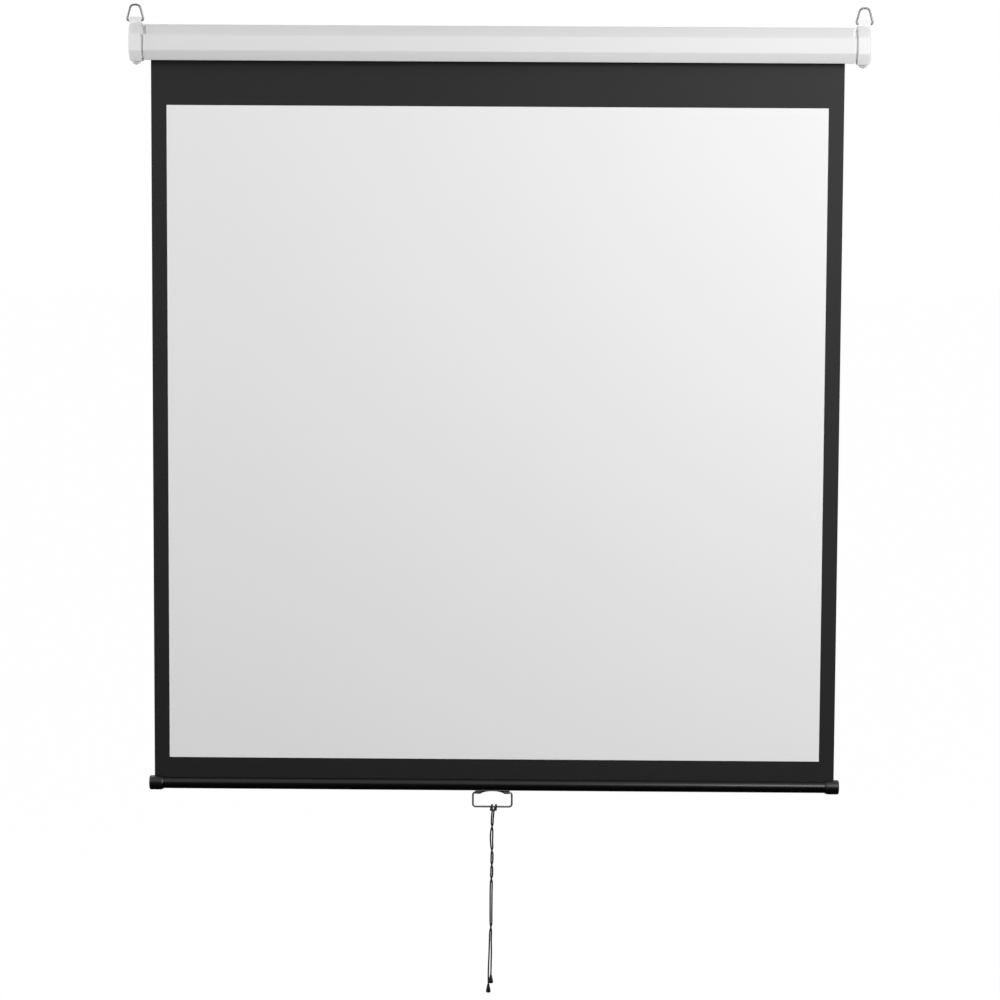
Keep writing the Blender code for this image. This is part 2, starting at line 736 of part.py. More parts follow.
def turns_on_roller():
    """The turns of sheet that never leave the roller, as one spiral strip."""
    steps = int(TURNS_LEFT * 28)
    angles = np.linspace(0, 2 * math.pi * TURNS_LEFT, steps + 1)
    sides = []
    for edge in (SHEET_THICKNESS / 2, -SHEET_THICKNESS / 2):
        radii = ROLL_RADIUS - TURN_PITCH * angles / (2 * math.pi) + edge
        sides.append([(r * math.cos(a), r * math.sin(a)) for r, a in zip(radii, angles)])
    outline = sides[0] + sides[1][::-1]
    start, end = SHEET_SHIFT - SHEET_WIDTH / 2, SHEET_SHIFT + SHEET_WIDTH / 2
    roll = plate([outline], start, end, (0, ROLLER_Y, ROLLER_Z))
    return finish(roll, "sheet_turns_on_roller", VINYL)


def spring_shaft():
    """The fixed rod inside the roller, with a flat blade that the left cap holds."""
    start = CAP_END_WALL + SOCKET_DEPTH + FIT
    end = HEAD_FROM_END + HEAD_THICKNESS + PLUG_LENGTH + SPRING_LENGTH + ANCHOR_LENGTH
    overlap = 2 * BLADE_THICKNESS
    shaft = as_mesh(turned(rod(SHAFT_RADIUS, 0, end - start), roller_place(-1, start), (1, 0, 0), 24))
    blade = rectangle(BLADE_THICKNESS, -BLADE_HEIGHT / 2, BLADE_HEIGHT / 2, 0)
    join(shaft, prism(blade, from_end(-1, CAP_END_WALL + FIT), from_end(-1, start + overlap),
                      (0, ROLLER_Y, ROLLER_Z)))
    return finish(shaft, "spring_shaft", STEEL)


def ratchet_disc():
    """The fixed disc whose two notches hold the pawls. Each has one steep side."""
    slope, foot, steep = NOTCH_ANGLES
    outline = []
    for turn in (0, 180):
        outline += arc(RATCHET_RADIUS, turn + steep - 180, turn + slope, 12)
        outline += arc(RATCHET_ROOT, turn + foot, turn + foot, 0)
    disc = plate([outline, circle(SHAFT_RADIUS + FIT, 24)], from_end(-1, RATCHET_FROM_END),
                 from_end(-1, RATCHET_FROM_END + RATCHET_THICKNESS), (0, ROLLER_Y, ROLLER_Z))
    return finish(disc, "ratchet_disc", STEEL)


def pawl_pivot(hand):
    return (0, ROLLER_Y, ROLLER_Z + hand * PAWL_PIVOT_RADIUS)


def pawl(hand, name):
    """A small lever on the turning head, drawn with its nose in a notch and then lifted clear.
    The outline runs along the lever from its pivot, and across towards the disc."""
    eye = PAWL_PIN_RADIUS + FIT
    half = PAWL_WIDTH / 2
    nose = Vector(arc(PAWL_TIP_RADIUS, PAWL_TIP_ANGLE, PAWL_TIP_ANGLE, 0)[0])
    lever = nose - Vector((0, PAWL_PIVOT_RADIUS))
    reach = lever.length
    outline = [
        (reach, half * 0.6), (reach * 0.36, half), *arc(eye + half, 75, 285, 8),
        (reach * 0.36, -half * 1.2), (reach - half, -half * 1.2), (reach, -half * 0.85),
    ]
    turn = math.atan2(lever.y, lever.x) - math.radians(PAWL_LIFT)
    across, along = math.sin(turn) * hand, math.cos(turn) * hand
    outline = [(x * along - y * across, x * across + y * along) for x, y in outline]
    piece = plate([outline, circle(eye, 12)], from_end(-1, RATCHET_FROM_END),
                  from_end(-1, RATCHET_FROM_END + RATCHET_THICKNESS), pawl_pivot(hand))
    return finish(piece, name, STEEL)


def headed_plug(side, bore):
    """One end of the roller, which plugs the tube and has a wider rim outside it."""
    plug = TUBE_BORE - FIT
    inner_end = HEAD_THICKNESS + PLUG_LENGTH
    profile = [
        (bore, inner_end), (plug, inner_end), (plug, HEAD_THICKNESS), (HEAD_RADIUS, HEAD_THICKNESS),
        (HEAD_RADIUS, 0), (bore, 0),
    ]
    return turned(profile, roller_place(side, HEAD_FROM_END), (-side, 0, 0))


def spring_head():
    """The left end of the roller: it turns on the shaft, grips the tube and carries the pawls."""
    head = as_mesh(headed_plug(-1, SHAFT_RADIUS + FIT))
    pin_start = from_end(-1, RATCHET_FROM_END - FIT)
    pin_end = from_end(-1, HEAD_FROM_END + HEAD_THICKNESS / 2)
    for hand in (-1, 1):
        join(head, prism(circle(PAWL_PIN_RADIUS, 12), pin_start, pin_end, pawl_pivot(hand)))
    return finish(head, "spring_head", NYLON)


def spring_anchor():
    """The plug fixed to the shaft's inner end, which holds the still end of the spring."""
    start = HEAD_FROM_END + HEAD_THICKNESS + PLUG_LENGTH + SPRING_LENGTH
    profile = washer(SPRING_RADIUS + 2 * SPRING_WIRE, SHAFT_RADIUS + FIT, 0, ANCHOR_LENGTH)
    anchor = turned(profile, roller_place(-1, start), (1, 0, 0), 24)
    return finish(anchor, "spring_anchor", NYLON)


def torsion_spring():
    """One wire wound round the shaft, its two ends square to the head's plug and the anchor."""
    tail = 2 * SPRING_WIRE
    start = HEAD_FROM_END + HEAD_THICKNESS + PLUG_LENGTH + FIT
    length = SPRING_LENGTH - 2 * FIT
    per_turn = 10
    count = SPRING_TURNS * per_turn
    coil = [(0, SPRING_RADIUS, 0), (tail / 2, SPRING_RADIUS, 0)]
    for step in range(count + 1):
        angle = 2 * math.pi * step / per_turn
        along = tail + (length - 2 * tail) * step / count
        coil.append((along, SPRING_RADIUS * math.cos(angle), SPRING_RADIUS * math.sin(angle)))
    coil += [(length - tail / 2, SPRING_RADIUS, 0), (length, SPRING_RADIUS, 0)]
    report_gap("torsion_spring", coil, SPRING_WIRE)
    spring = wire(coil, SPRING_WIRE, roller_place(-1, start), 1)
    return finish(spring, "torsion_spring", SPRING_STEEL)


def idler():
    """The right end of the roller: a plug in the tube, its pin, and the bush in the cap."""
    bore = IDLER_RADIUS + FIT
    finish(headed_plug(1, bore), "idler_plug", NYLON)
    place = roller_place(1, CAP_END_WALL + FIT)
    length = HEAD_FROM_END + HEAD_THICKNESS + PLUG_LENGTH - CAP_END_WALL - FIT
    finish(turned(rod(IDLER_RADIUS, 0, length), place, (-1, 0, 0), 24), "idler_pin", STEEL)
    ring = washer(bore + BUSH_WALL, bore, 0, BUSH_LENGTH - FIT)
    finish(turned(ring, place, (-1, 0, 0), 24), "idler_bush", NYLON)


# Sheet

def sheet_pieces():
    """The white sheet from the roll to its hem, and the black border printed on its front."""
    low = HEM_ROD_Z + HEM_RADIUS + FIT
    half = SHEET_THICKNESS / 2
    sheet = plate([rectangle(SHEET_WIDTH, low, ROLLER_Z - FIT)], SHEET_Y - half, SHEET_Y + half,
                  (0, 0, 0), ALONG_Y)
    finish(sheet, "screen_sheet", VINYL)
    back = SHEET_Y - half - FIT
    border = rectangle(SHEET_WIDTH, low, CASE_BOTTOM_Z + PRINT_ABOVE_SLOT)
    picture = rectangle(PICTURE, PICTURE_TOP_Z - PICTURE, PICTURE_TOP_Z)
    ink = plate([border, picture], back - PRINT_THICKNESS, back, (0, 0, 0), ALONG_Y)
    finish(ink, "black_border", BORDER_INK)


# Weight bar

def bar_end(side, distance):
    """World x of a place that lies inside the outer face of the left or right bar cap."""
    return SHEET_SHIFT + side * (BAR_LENGTH / 2 - distance)


def slotted_ring(outer, inner, slot, steps=28):
    """Section of a tube with a slot along its top."""
    outer_angle = math.degrees(math.asin(slot / 2 / outer))
    inner_angle = math.degrees(math.asin(slot / 2 / inner))
    return arc(outer, 90 + outer_angle, 450 - outer_angle, steps) + arc(
        inner, 450 - inner_angle, 90 + inner_angle, steps
    )


def weight_bar():
    inside = BAR_CAP_END + FIT
    section = slotted_ring(BAR_RADIUS, BAR_RADIUS - BAR_WALL, BAR_SLOT)
    bar = plate([section], bar_end(-1, inside), bar_end(1, inside), (0, SHEET_Y, BAR_Z))
    return finish(bar, "weight_bar", BLACK_PAINT)


def bar_cap(side, name):
    """A cap that slides over the bar, slit on top so that the sheet's corner passes."""
    bore = BAR_RADIUS + FIT
    length = BAR_CAP_LENGTH + BAR_CAP_TAPER
    corner = arc(BAR_CAP_ROUND, 90, 0, 3, (0, BAR_CAP_RADIUS - BAR_CAP_ROUND))
    profile = [
        (0, BAR_CAP_END), (bore, BAR_CAP_END), (bore, length), (bore + BAR_WALL / 2, length),
        (BAR_CAP_RADIUS, BAR_CAP_LENGTH), *[(radius, BAR_CAP_ROUND - along) for along, radius in corner],
        (0, 0),
    ]
    cap = as_mesh(turned(profile, (bar_end(side, 0), SHEET_Y, BAR_Z), (-side, 0, 0)))
    put_origin(cap, (bar_end(side, 0), SHEET_Y, BAR_Z))
    edge = BAR_LENGTH / 2 - SHEET_WIDTH / 2 - 4 * FIT
    slit = rectangle(BAR_SLOT, 0, 2 * BAR_CAP_RADIUS, 0)
    cut(cap, prism(slit, bar_end(side, edge), bar_end(side, 2 * length), (0, SHEET_Y, BAR_Z)))
    return finish(cap, name, BLACK_MOULDING)


def hem():
    """The welded hem of the sheet and the rod in it, which keep the sheet in the bar."""
    start, end = SHEET_SHIFT - SHEET_WIDTH / 2, SHEET_SHIFT + SHEET_WIDTH / 2
    place = (0, SHEET_Y, HEM_ROD_Z)
    sleeve = plate([circle(HEM_RADIUS, 16), circle(HEM_RADIUS - HEM_WALL, 16)], start, end, place)
    finish(sleeve, "sheet_hem", VINYL)
    inside = BAR_CAP_END + 2 * FIT
    rod_piece = plate([circle(HEM_ROD_RADIUS, 16)], bar_end(-1, inside), bar_end(1, inside), place)
    finish(rod_piece, "hem_rod", STEEL)


# Handle

def handle_bracket():
    """A saddle strip under the bar whose ends are rolled into knuckles for the handle."""
    inner = BAR_RADIUS + FIT
    outer = inner + BRACKET_WALL
    low, high = -90 - BRACKET_HALF_ANGLE, -90 + BRACKET_HALF_ANGLE
    section = arc(outer, low, high, 8) + arc(inner, high, low, 8)
    reach = KNUCKLE_SPREAD / 2 + KNUCKLE_LENGTH / 2
    saddle = prism(section, SHEET_SHIFT - reach, SHEET_SHIFT + reach, (0, SHEET_Y, BAR_Z))
    put_origin(saddle, (SHEET_SHIFT, SHEET_Y, BAR_Z))
    for hand in (-1, 1):
        middle = SHEET_SHIFT + hand * KNUCKLE_SPREAD / 2
        start, end = middle - KNUCKLE_LENGTH / 2, middle + KNUCKLE_LENGTH / 2
        place = (0, SHEET_Y, HANDLE_Z)
        join(saddle, prism(circle(KNUCKLE_RADIUS, 16), start, end, place))
        margin = KNUCKLE_LENGTH / 2
        cut(saddle, prism(circle(KNUCKLE_BORE, 16), start - margin, end + margin, place))
        rivet = (SHEET_SHIFT + hand * RIVET_SPREAD / 2, SHEET_Y, BAR_Z - inner)
        hole = turned(rod(RIVET_RADIUS + FIT, -2 * BRACKET_WALL, BRACKET_WALL), rivet, (0, 0, 1), 12)
        cut(saddle, hole)
        side = "left" if hand < 0 else "right"
        dome = [
            (RIVET_HEAD_RADIUS * math.cos(a), -BRACKET_WALL - FIT - RIVET_HEAD_HEIGHT * math.sin(a))
            for a in np.linspace(0, math.pi / 2, 5)
        ]
        shank = [(0, 0), (RIVET_RADIUS, 0), (RIVET_RADIUS, -BRACKET_WALL - FIT)]
        profile = [*shank, *dome[:-1], (0, dome[-1][1])]
        finish(turned(profile, rivet, (0, 0, 1), 12), f"bracket_rivet_{side}", STEEL)
    return finish(saddle, "handle_bracket", ZINC)


def handle():
    """A wire bail whose ends turn in the bracket's knuckles."""
    foot = KNUCKLE_SPREAD / 2 - KNUCKLE_LENGTH / 2 + FIT
    half = HANDLE_WIDTH / 2
    corners = [
        (-foot, 0, 0), (-half, 0, 0), (-half, 0, -HANDLE_HEIGHT),
        (half, 0, -HANDLE_HEIGHT), (half, 0, 0), (foot, 0, 0),
    ]
    path = rounded_path(corners, HANDLE_CORNER, 5)
    bail = wire(path, HANDLE_WIRE, (SHEET_SHIFT, SHEET_Y, HANDLE_Z))
    return finish(bail, "handle", ZINC)


# Pull cord

def grip_place():
    return (SHEET_SHIFT, SHEET_Y, GRIP_Z)


def hitch_route():
    """Half of the hitch: from its end up in front of the crossing part, under the wire and
    round it from behind, then down in front and behind its own two ends to the middle."""
    cord = CORD_DIAMETER
    over = (HANDLE_WIRE + cord) / 2 + FIT * 1.5
    return [
        (0.58 * cord, -0.15 * cord, -HITCH_DROP), (0.58 * cord, -0.45 * cord, -HITCH_DROP * 0.73),
        (0.58 * cord, -0.70 * cord, -over - 1.15 * cord), (0.66 * cord, -0.45 * cord, -over - 0.4 * cord),
        (0.78 * cord, 0.24 * over, -0.99 * over), (0.90 * cord, 0.82 * over, -0.60 * over),
        (1.00 * cord, over, 0.05 * over), (1.15 * cord, 0.70 * over, 0.75 * over),
        (1.30 * cord, 0, over), (1.47 * cord, -0.72 * over, 0.70 * over),
        (1.58 * cord, -over, -0.10 * over), (1.70 * cord, -0.82 * over, -0.95 * over),
        (1.76 * cord, -0.20 * over, -1.75 * over), (0.93 * cord, 0.53 * over, -1.97 * over),
        (0, 0.68 * over, -1.97 * over),
    ]


def cord_hitch():
    """The cord's doubled middle, looped over the handle's wire."""
    right = hitch_route()
    route = right + [(-x, y, z) for x, y, z in right[-2::-1]]
    path = smooth_path([(x + HITCH_LEAN * z, y, z) for x, y, z in route], 1)
    report_gap("cord_hitch", path, CORD_DIAMETER)
    return finish(wire(path, CORD_DIAMETER, grip_place()), "cord_hitch", BLACK_CORD)


def strand_route(side, points):
    """A strand from the hitch's left (-1) or right (1) end down through its points."""
    x, y, z = hitch_route()[0]
    below = [(right, behind * CORD_DIAMETER, -down) for right, behind, down in points]
    return [(side * x + HITCH_LEAN * z, y, z - FIT), *below]


def strand(route, name):
    return finish(wire(smooth_path(route, 2), CORD_DIAMETER, grip_place()), name, BLACK_CORD)


def cord_bell(route, length, name):
    """A moulded end for the cord: narrow at the top, with a rounded foot."""
    centre = Vector(grip_place()) + Vector(route[-1]) - Vector((0, 0, FIT))
    foot = BELL_RADIUS * 0.6
    rounded = [
        (BELL_RADIUS * math.cos(a), -length + foot - foot * math.sin(a))
        for a in np.linspace(0, math.pi / 2, 5)
    ]
    profile = [
        (0, 0), (BELL_TOP_RADIUS, 0), (BELL_TOP_RADIUS, -length * 0.12),
        (BELL_RADIUS * 0.72, -length * 0.45), (BELL_RADIUS * 0.96, -length * 0.72),
        *rounded[:-1], (0, -length),
    ]
    return finish(turned(profile, centre, (0, 0, 1), 20), name, BLACK_MOULDING)


# The whole screen

case_shell()
for hand, side_name in ((-1, "left"), (1, "right")):
    end_cap(hand, f"{side_name}_end_cap")
    hanger_tab(hand, f"{side_name}_hanger_tab")
    hanging_ring(hand, f"{side_name}_hanging_ring")
    bar_cap(hand, f"{side_name}_bar_cap")
roller_tube()
turns_on_roller()
spring_shaft()
ratchet_disc()
pawl(1, "upper_pawl")
pawl(-1, "lower_pawl")
spring_head()
spring_anchor()
torsion_spring()
idler()
sheet_pieces()
weight_bar()
hem()
handle_bracket()
handle()
short_route = strand_route(-1, SHORT_STRAND)
long_route = strand_route(1, LONG_STRAND)
hang_from("cord_pivot", grip_place(), [
    cord_hitch(),
    strand(short_route, "cord_strand_short"),
    strand(long_route, "cord_strand_long"),
    cord_bell(short_route, SHORT_BELL_LENGTH, "cord_bell_short"),
    cord_bell(long_route, LONG_BELL_LENGTH, "cord_bell_long"),
])

started = TUBE_RADIUS + SHEET_THICKNESS * TURNS_LEFT
wound = (math.sqrt(started**2 + SHEET_THICKNESS * TRAVEL / math.pi) - started) / SHEET_THICKNESS
print(f"travel of the screen {TRAVEL:.4f} m, which winds {wound:.2f} turns of the roller")
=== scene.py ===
"""Looks of a hanging pull-down projector screen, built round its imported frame.

Metres, +Z up, the picture side faces -Y. Each operator makes one piece or one group of like pieces.
"""

import json
import math
from typing import NamedTuple

import bmesh
import bpy
import numpy as np
from bpy.props import FloatProperty, FloatVectorProperty, PointerProperty
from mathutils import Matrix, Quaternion, Vector

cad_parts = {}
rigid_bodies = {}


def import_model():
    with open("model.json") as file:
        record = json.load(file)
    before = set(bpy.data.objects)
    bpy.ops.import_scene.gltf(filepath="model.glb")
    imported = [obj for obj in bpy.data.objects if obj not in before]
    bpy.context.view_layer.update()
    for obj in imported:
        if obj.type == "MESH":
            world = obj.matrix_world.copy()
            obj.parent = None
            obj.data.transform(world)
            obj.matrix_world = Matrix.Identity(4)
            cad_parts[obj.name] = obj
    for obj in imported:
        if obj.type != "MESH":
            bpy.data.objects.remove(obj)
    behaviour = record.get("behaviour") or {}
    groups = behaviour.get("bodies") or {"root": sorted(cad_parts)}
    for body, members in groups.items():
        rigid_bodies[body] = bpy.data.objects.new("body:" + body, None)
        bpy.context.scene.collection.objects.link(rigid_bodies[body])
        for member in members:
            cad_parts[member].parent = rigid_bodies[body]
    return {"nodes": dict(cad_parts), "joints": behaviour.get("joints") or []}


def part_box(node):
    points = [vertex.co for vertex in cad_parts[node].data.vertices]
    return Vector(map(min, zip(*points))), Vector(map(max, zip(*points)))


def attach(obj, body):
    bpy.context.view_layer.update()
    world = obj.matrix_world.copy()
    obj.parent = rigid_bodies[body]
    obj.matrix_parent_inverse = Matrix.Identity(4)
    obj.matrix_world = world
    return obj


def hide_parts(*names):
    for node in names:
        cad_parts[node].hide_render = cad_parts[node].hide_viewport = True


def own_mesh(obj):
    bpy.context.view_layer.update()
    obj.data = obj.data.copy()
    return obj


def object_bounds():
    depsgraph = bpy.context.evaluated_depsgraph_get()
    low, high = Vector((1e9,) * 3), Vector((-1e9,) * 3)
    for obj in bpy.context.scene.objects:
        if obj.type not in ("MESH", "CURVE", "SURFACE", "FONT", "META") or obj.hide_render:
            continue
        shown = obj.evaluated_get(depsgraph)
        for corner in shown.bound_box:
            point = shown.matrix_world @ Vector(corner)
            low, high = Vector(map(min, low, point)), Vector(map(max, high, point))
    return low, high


bl_info = {
    "name": "Projector screen",
    "version": (1, 0, 0),
    "blender": (4, 5, 0),
    "location": "3D View > Sidebar > Screen",
    "description": "Dresses a hanging pull-down projector screen",
    "category": "Object",
}

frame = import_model()
CAD_BOX = [list(corner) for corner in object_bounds()]

# Places and sizes that the frame gives
JOINTS = {joint["name"]: joint for joint in frame["joints"]}
SHEET_TOP = JOINTS["screen_travel"]["deforming_nodes"][0]["fixed_end_z_m"]
ROLLER = Vector(JOINTS["roller_spin"]["pos_m"])
RING_PIVOTS = {side: Vector(JOINTS[f"{side}_ring_swing"]["pos_m"]) for side in ("left", "right")}
HANDLE_PIVOT = Vector(JOINTS["handle_swing"]["pos_m"])
GRIP = Vector(JOINTS["cord_swing"]["pos_m"])
SIDES = {"left": -1, "right": 1}
CASE_LOW, CASE_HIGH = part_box("case_shell")
CASE_MIDDLE = Vector((0, 0, ROLLER.z))
CAP_END = -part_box("left_end_cap")[0].x
BAR_LOW, BAR_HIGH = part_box("weight_bar")
BAR_RADIUS = (BAR_HIGH.y - BAR_LOW.y) / 2
BAR_AXIS = Vector((HANDLE_PIVOT.x, HANDLE_PIVOT.y, BAR_LOW.z + BAR_RADIUS))
BAR_CAP_LOW, BAR_CAP_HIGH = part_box("left_bar_cap")
SHEET_LOW, SHEET_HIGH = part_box("screen_sheet")
SHEET_MIDDLE = HANDLE_PIVOT.x
SHEET_WIDTH = SHEET_HIGH.x - SHEET_LOW.x
PRINT_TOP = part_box("black_border")[1].z

# Places nearer than this are the same place
SAME = 1e-6
# Welded pieces run this far into each other
OVERLAP = 0.001
# How far a sheared sheet edge and the end of a cut wire are rounded
SHEARED_EDGE = 0.00015
WIRE_END = 0.0004

# The case's section, as folded: half its depth, its flat front and the slant facets over and under it
HALF_DEPTH = CASE_HIGH.y
FACET_HALF = 0.017
UPPER_RUN = 0.022
LOWER_RUN = 0.018
CASE_TOP = CASE_HIGH.z - ROLLER.z
CASE_BOTTOM = CASE_LOW.z - ROLLER.z
# Its sheet steel, the play between fitted pieces, and the slot with its two lips
WALL = 0.001
FIT = 0.0003
SLOT_WIDTH = 0.016
SLOT_LIP = 0.006
# An end cap, from its end inwards: its solid end, its whole length, the groove and the spigot
CAP_END_WALL = 0.009
CAP_LENGTH = 0.029
CAP_PROUD = 0.003
GROOVE_WIDTH = 0.0047
GROOVE_DEPTH = 0.005
SPIGOT = 0.012
# A tab and the foot that goes down into its cap, with heights from the ring's axis
TAB_WIDTH = 0.0277
TAB_THICKNESS = 0.008
TAB_SEAT = -0.0052
TAB_FOOT = -0.0105
TAB_FOOT_WIDTH = 0.018
RING_WIRE = 0.0047
SHEET_THICKNESS = 0.0004
PICTURE = 1.500
PICTURE_TOP = SHEET_HIGH.z - 0.1402
# The handle's wire, and how far right of the bar's middle the handle hangs
HANDLE_WIRE = 0.0045
HANDLE_SHIFT = -0.0033

# The hitch's height below the grip, and how far it leans to the left as a share of that
HITCH_DROP = 0.0130
HITCH_LEAN = 0.14
# Under the hitch the cord's two strands lie side by side and cross five times. A row says how far
# below the grip it is, where the middle between the strands lies right of the grip, how far right of
# the short strand the long one lies, and how many cord diameters the long strand lies behind that
# middle and the short one before it.
TWIST = [
    (0.0290, -0.0031, 0.0040, 0.00), (0.0400, -0.0033, 0.0037, 0.30), (0.0475, -0.0035, 0.0000, 0.80),
    (0.0550, -0.0040, -0.0039, 0.30), (0.0680, -0.0047, -0.0052, 0.00), (0.0830, -0.0046, -0.0046, 0.00),
    (0.0960, -0.0038, -0.0038, -0.30), (0.1035, -0.0036, 0.0000, -0.80), (0.1110, -0.0033, 0.0038, -0.30),
    (0.1200, -0.0034, 0.0040, 0.00), (0.1300, -0.0037, 0.0038, 0.30), (0.1375, -0.0037, 0.0000, 0.80),
    (0.1450, -0.0038, -0.0038, 0.30), (0.1530, -0.0039, -0.0040, 0.00), (0.1630, -0.0042, -0.0038, -0.30),
    (0.1705, -0.0044, 0.0000, -0.80), (0.1780, -0.0046, 0.0038, -0.30), (0.1990, -0.0051, 0.0043, 0.00),
    (0.2280, -0.0052, 0.0042, 0.00), (0.2560, -0.0052, 0.0040, 0.00), (0.2750, -0.0050, 0.0037, 0.30),
    (0.2850, -0.0051, 0.0000, 0.80), (0.2950, -0.0057, -0.0037, 0.30), (0.3120, -0.0062, -0.0040, 0.00),
    (0.3400, -0.0064, -0.0052, 0.00),
]
# The strands' ends, as distances right of the grip, behind it in cord diameters, and below it
SHORT_END = [(-0.0041, 0.00, 0.3680), (-0.0048, 0.00, 0.3980)]
LONG_END = [(-0.0099, 0.60, 0.3680), (-0.0107, 1.40, 0.3930), (-0.0106, 1.40, 0.4205)]


def linear(code):
    """The linear colour of an sRGB hex code."""
    shares = [int(code[k:k + 2], 16) / 255 for k in (0, 2, 4)]
    return tuple(c / 12.92 if c <= 0.04045 else ((c + 0.055) / 1.055) ** 2.4 for c in shares)


# Settings

def length(name, description, default):
    return FloatProperty(name=name, description=description, default=default, min=0, unit="LENGTH",
                         precision=5)


def watts(name, place, default):
    return FloatProperty(name=name, description=f"Power of the lamp {place}, in watts", default=default,
                         min=0)


def colour(name, description, code):
    return FloatVectorProperty(name=name, description=description, default=linear(code), subtype="COLOR",
                               min=0, max=1)


class HousingSettings(bpy.types.PropertyGroup):
    bend: length("Bend", "Outer radius of the folds in the case", 0.002)
    cap_rounding: length("Cap rounding", "Radius of the end caps' outer edge", 0.008)
    edge: length("Moulded edge", "Radius left on the edges of moulded pieces", 0.0006)
    coat: colour("Coat", "Colour of the powder coat", "EBEBEB")
    moulding: colour("Moulding", "Colour of the white caps and tabs", "F1F1F1")
    zinc: colour("Zinc", "Colour of the plated wire and strip", "888888")


class SheetSettings(bpy.types.PropertyGroup):
    wave: length("Wave", "How far the free sheet stands out of its plane", 0.0011)
    weave: length("Weave", "Distance between the threads that show through the coating", 0.0012)
    white: colour("Picture", "Colour of the matt white coating", "F5F5F5")
    ink: colour("Border", "Colour of the printed border", "131313")
    backing: colour("Backing", "Colour of the black back", "141414")


class BarSettings(bpy.types.PropertyGroup):
    cap_rounding: length("Cap rounding", "Radius of the bar caps' outer edge", 0.004)
    paint: colour("Paint", "Colour of the weight bar", "060606")
    moulding: colour("Moulding", "Colour of the black mouldings", "060606")


class CordSettings(bpy.types.PropertyGroup):
    diameter: length("Diameter", "Thickness of the pull cord", 0.0036)
    braid: length("Braid", "Distance between the strands of the braid along the cord", 0.0016)
    yarn: colour("Yarn", "Colour of the polyester", "060606")


class StageSettings(bpy.types.PropertyGroup):
    distance: length("Distance", "From the screen to the camera", 8.5)
    floor_drop: length("Floor", "From the lowest bell to the floor", 0.75)
    key: watts("Key", "at the right in front", 96)
    fill: watts("Fill", "at the left in front", 39)
    left: watts("Left side", "at the left end", 18)
    right: watts("Right side", "at the right end", 6)
    back: watts("Back", "behind", 60)
    world: FloatProperty(name="World", description="Strength of the light all round", default=0.195, min=0)


# Modelling helpers

def only(*things):
    """Selects these objects alone, and makes the first one active."""
    bpy.ops.object.select_all(action="DESELECT")
    for thing in things:
        thing.select_set(True)
    bpy.context.view_layer.objects.active = things[0]


def edit(thing):
    """Opens a piece in edit mode with everything selected."""
    only(thing)
    bpy.ops.object.mode_set(mode="EDIT")
    bpy.ops.mesh.select_mode(type="VERT")
    bpy.ops.mesh.select_all(action="SELECT")


def leave():
    bpy.ops.object.mode_set(mode="OBJECT")


def choose(thing, kind, test):
    """In edit mode, selects the faces, edges or vertices that pass the test, and nothing else."""
    bpy.ops.mesh.select_mode(type=kind)
    bpy.ops.mesh.select_all(action="DESELECT")
    shape = bmesh.from_edit_mesh(thing.data)
    shape.verts.index_update()
    for part in {"FACE": shape.faces, "EDGE": shape.edges, "VERT": shape.verts}[kind]:
        if test(part):
            part.select_set(True)
    bmesh.update_edit_mesh(thing.data)


def face_out(thing):
    """Turns every face of a closed piece outwards."""
    edit(thing)
    bpy.ops.mesh.normals_make_consistent(inside=False)
    leave()
    return thing


def mirrored(thing, centre=0.0):
    """A copy with its own mesh, turned left to right about a place."""
    only(thing)
    bpy.ops.object.duplicate(linked=False)
    copy = bpy.context.object
    copy.scale.x = -1
    copy.location.x = 2 * centre
    bpy.ops.object.transform_apply(location=True, rotation=True, scale=True)
    return face_out(copy)


def both_sides(thing, centre=0.0):
    """The left piece and its mirror image, each after its side's name."""
    return ("left", thing), ("right", mirrored(thing, centre))


def modify(thing, kind, **settings):
    """Adds a modifier, sets it and applies it."""
    only(thing)
    bpy.ops.object.modifier_add(type=kind)
    modifier = thing.modifiers[-1]
    for name, value in settings.items():
        setattr(modifier, name, value)
    bpy.ops.object.modifier_apply(modifier=modifier.name)
    return thing


def soften(thing, width, segments=3, sharper_than=32):
    """Rounds the edges that a mould, a press or a tumbler would have rounded."""
    return modify(thing, "BEVEL", width=width, segments=segments, limit_method="ANGLE",
                  angle_limit=math.radians(sharper_than), use_clamp_overlap=True)


def combine(operation, thing, others):
    for other in others:
        modify(thing, "BOOLEAN", operation=operation, object=other, solver="MANIFOLD")
        bpy.data.objects.remove(other)


def carve(thing, *cutters):
    combine("DIFFERENCE", thing, cutters)


def weld(thing, *others):
    combine("UNION", thing, others)


def prism(outline, axis, start, end):
    """A straight block: a cylinder whose corners are set to an outline across the given axis."""
    bpy.ops.mesh.primitive_cylinder_add(vertices=len(outline), radius=1, depth=2, location=(0, 0, 0))
    block = bpy.context.object
    across, up, along = {"X": (1, 2, 0), "Y": (0, 2, 1), "Z": (0, 1, 2)}[axis]
    for corner in block.data.vertices:
        # A cylinder's corners are counted from +Y
        step = round(math.atan2(corner.co.x, corner.co.y) / math.tau * len(outline))
        place = [0.0, 0.0, 0.0]
        place[across], place[up] = outline[step % len(outline)]
        place[along] = start if corner.co.z < 0 else end
        corner.co = place
    return face_out(block)


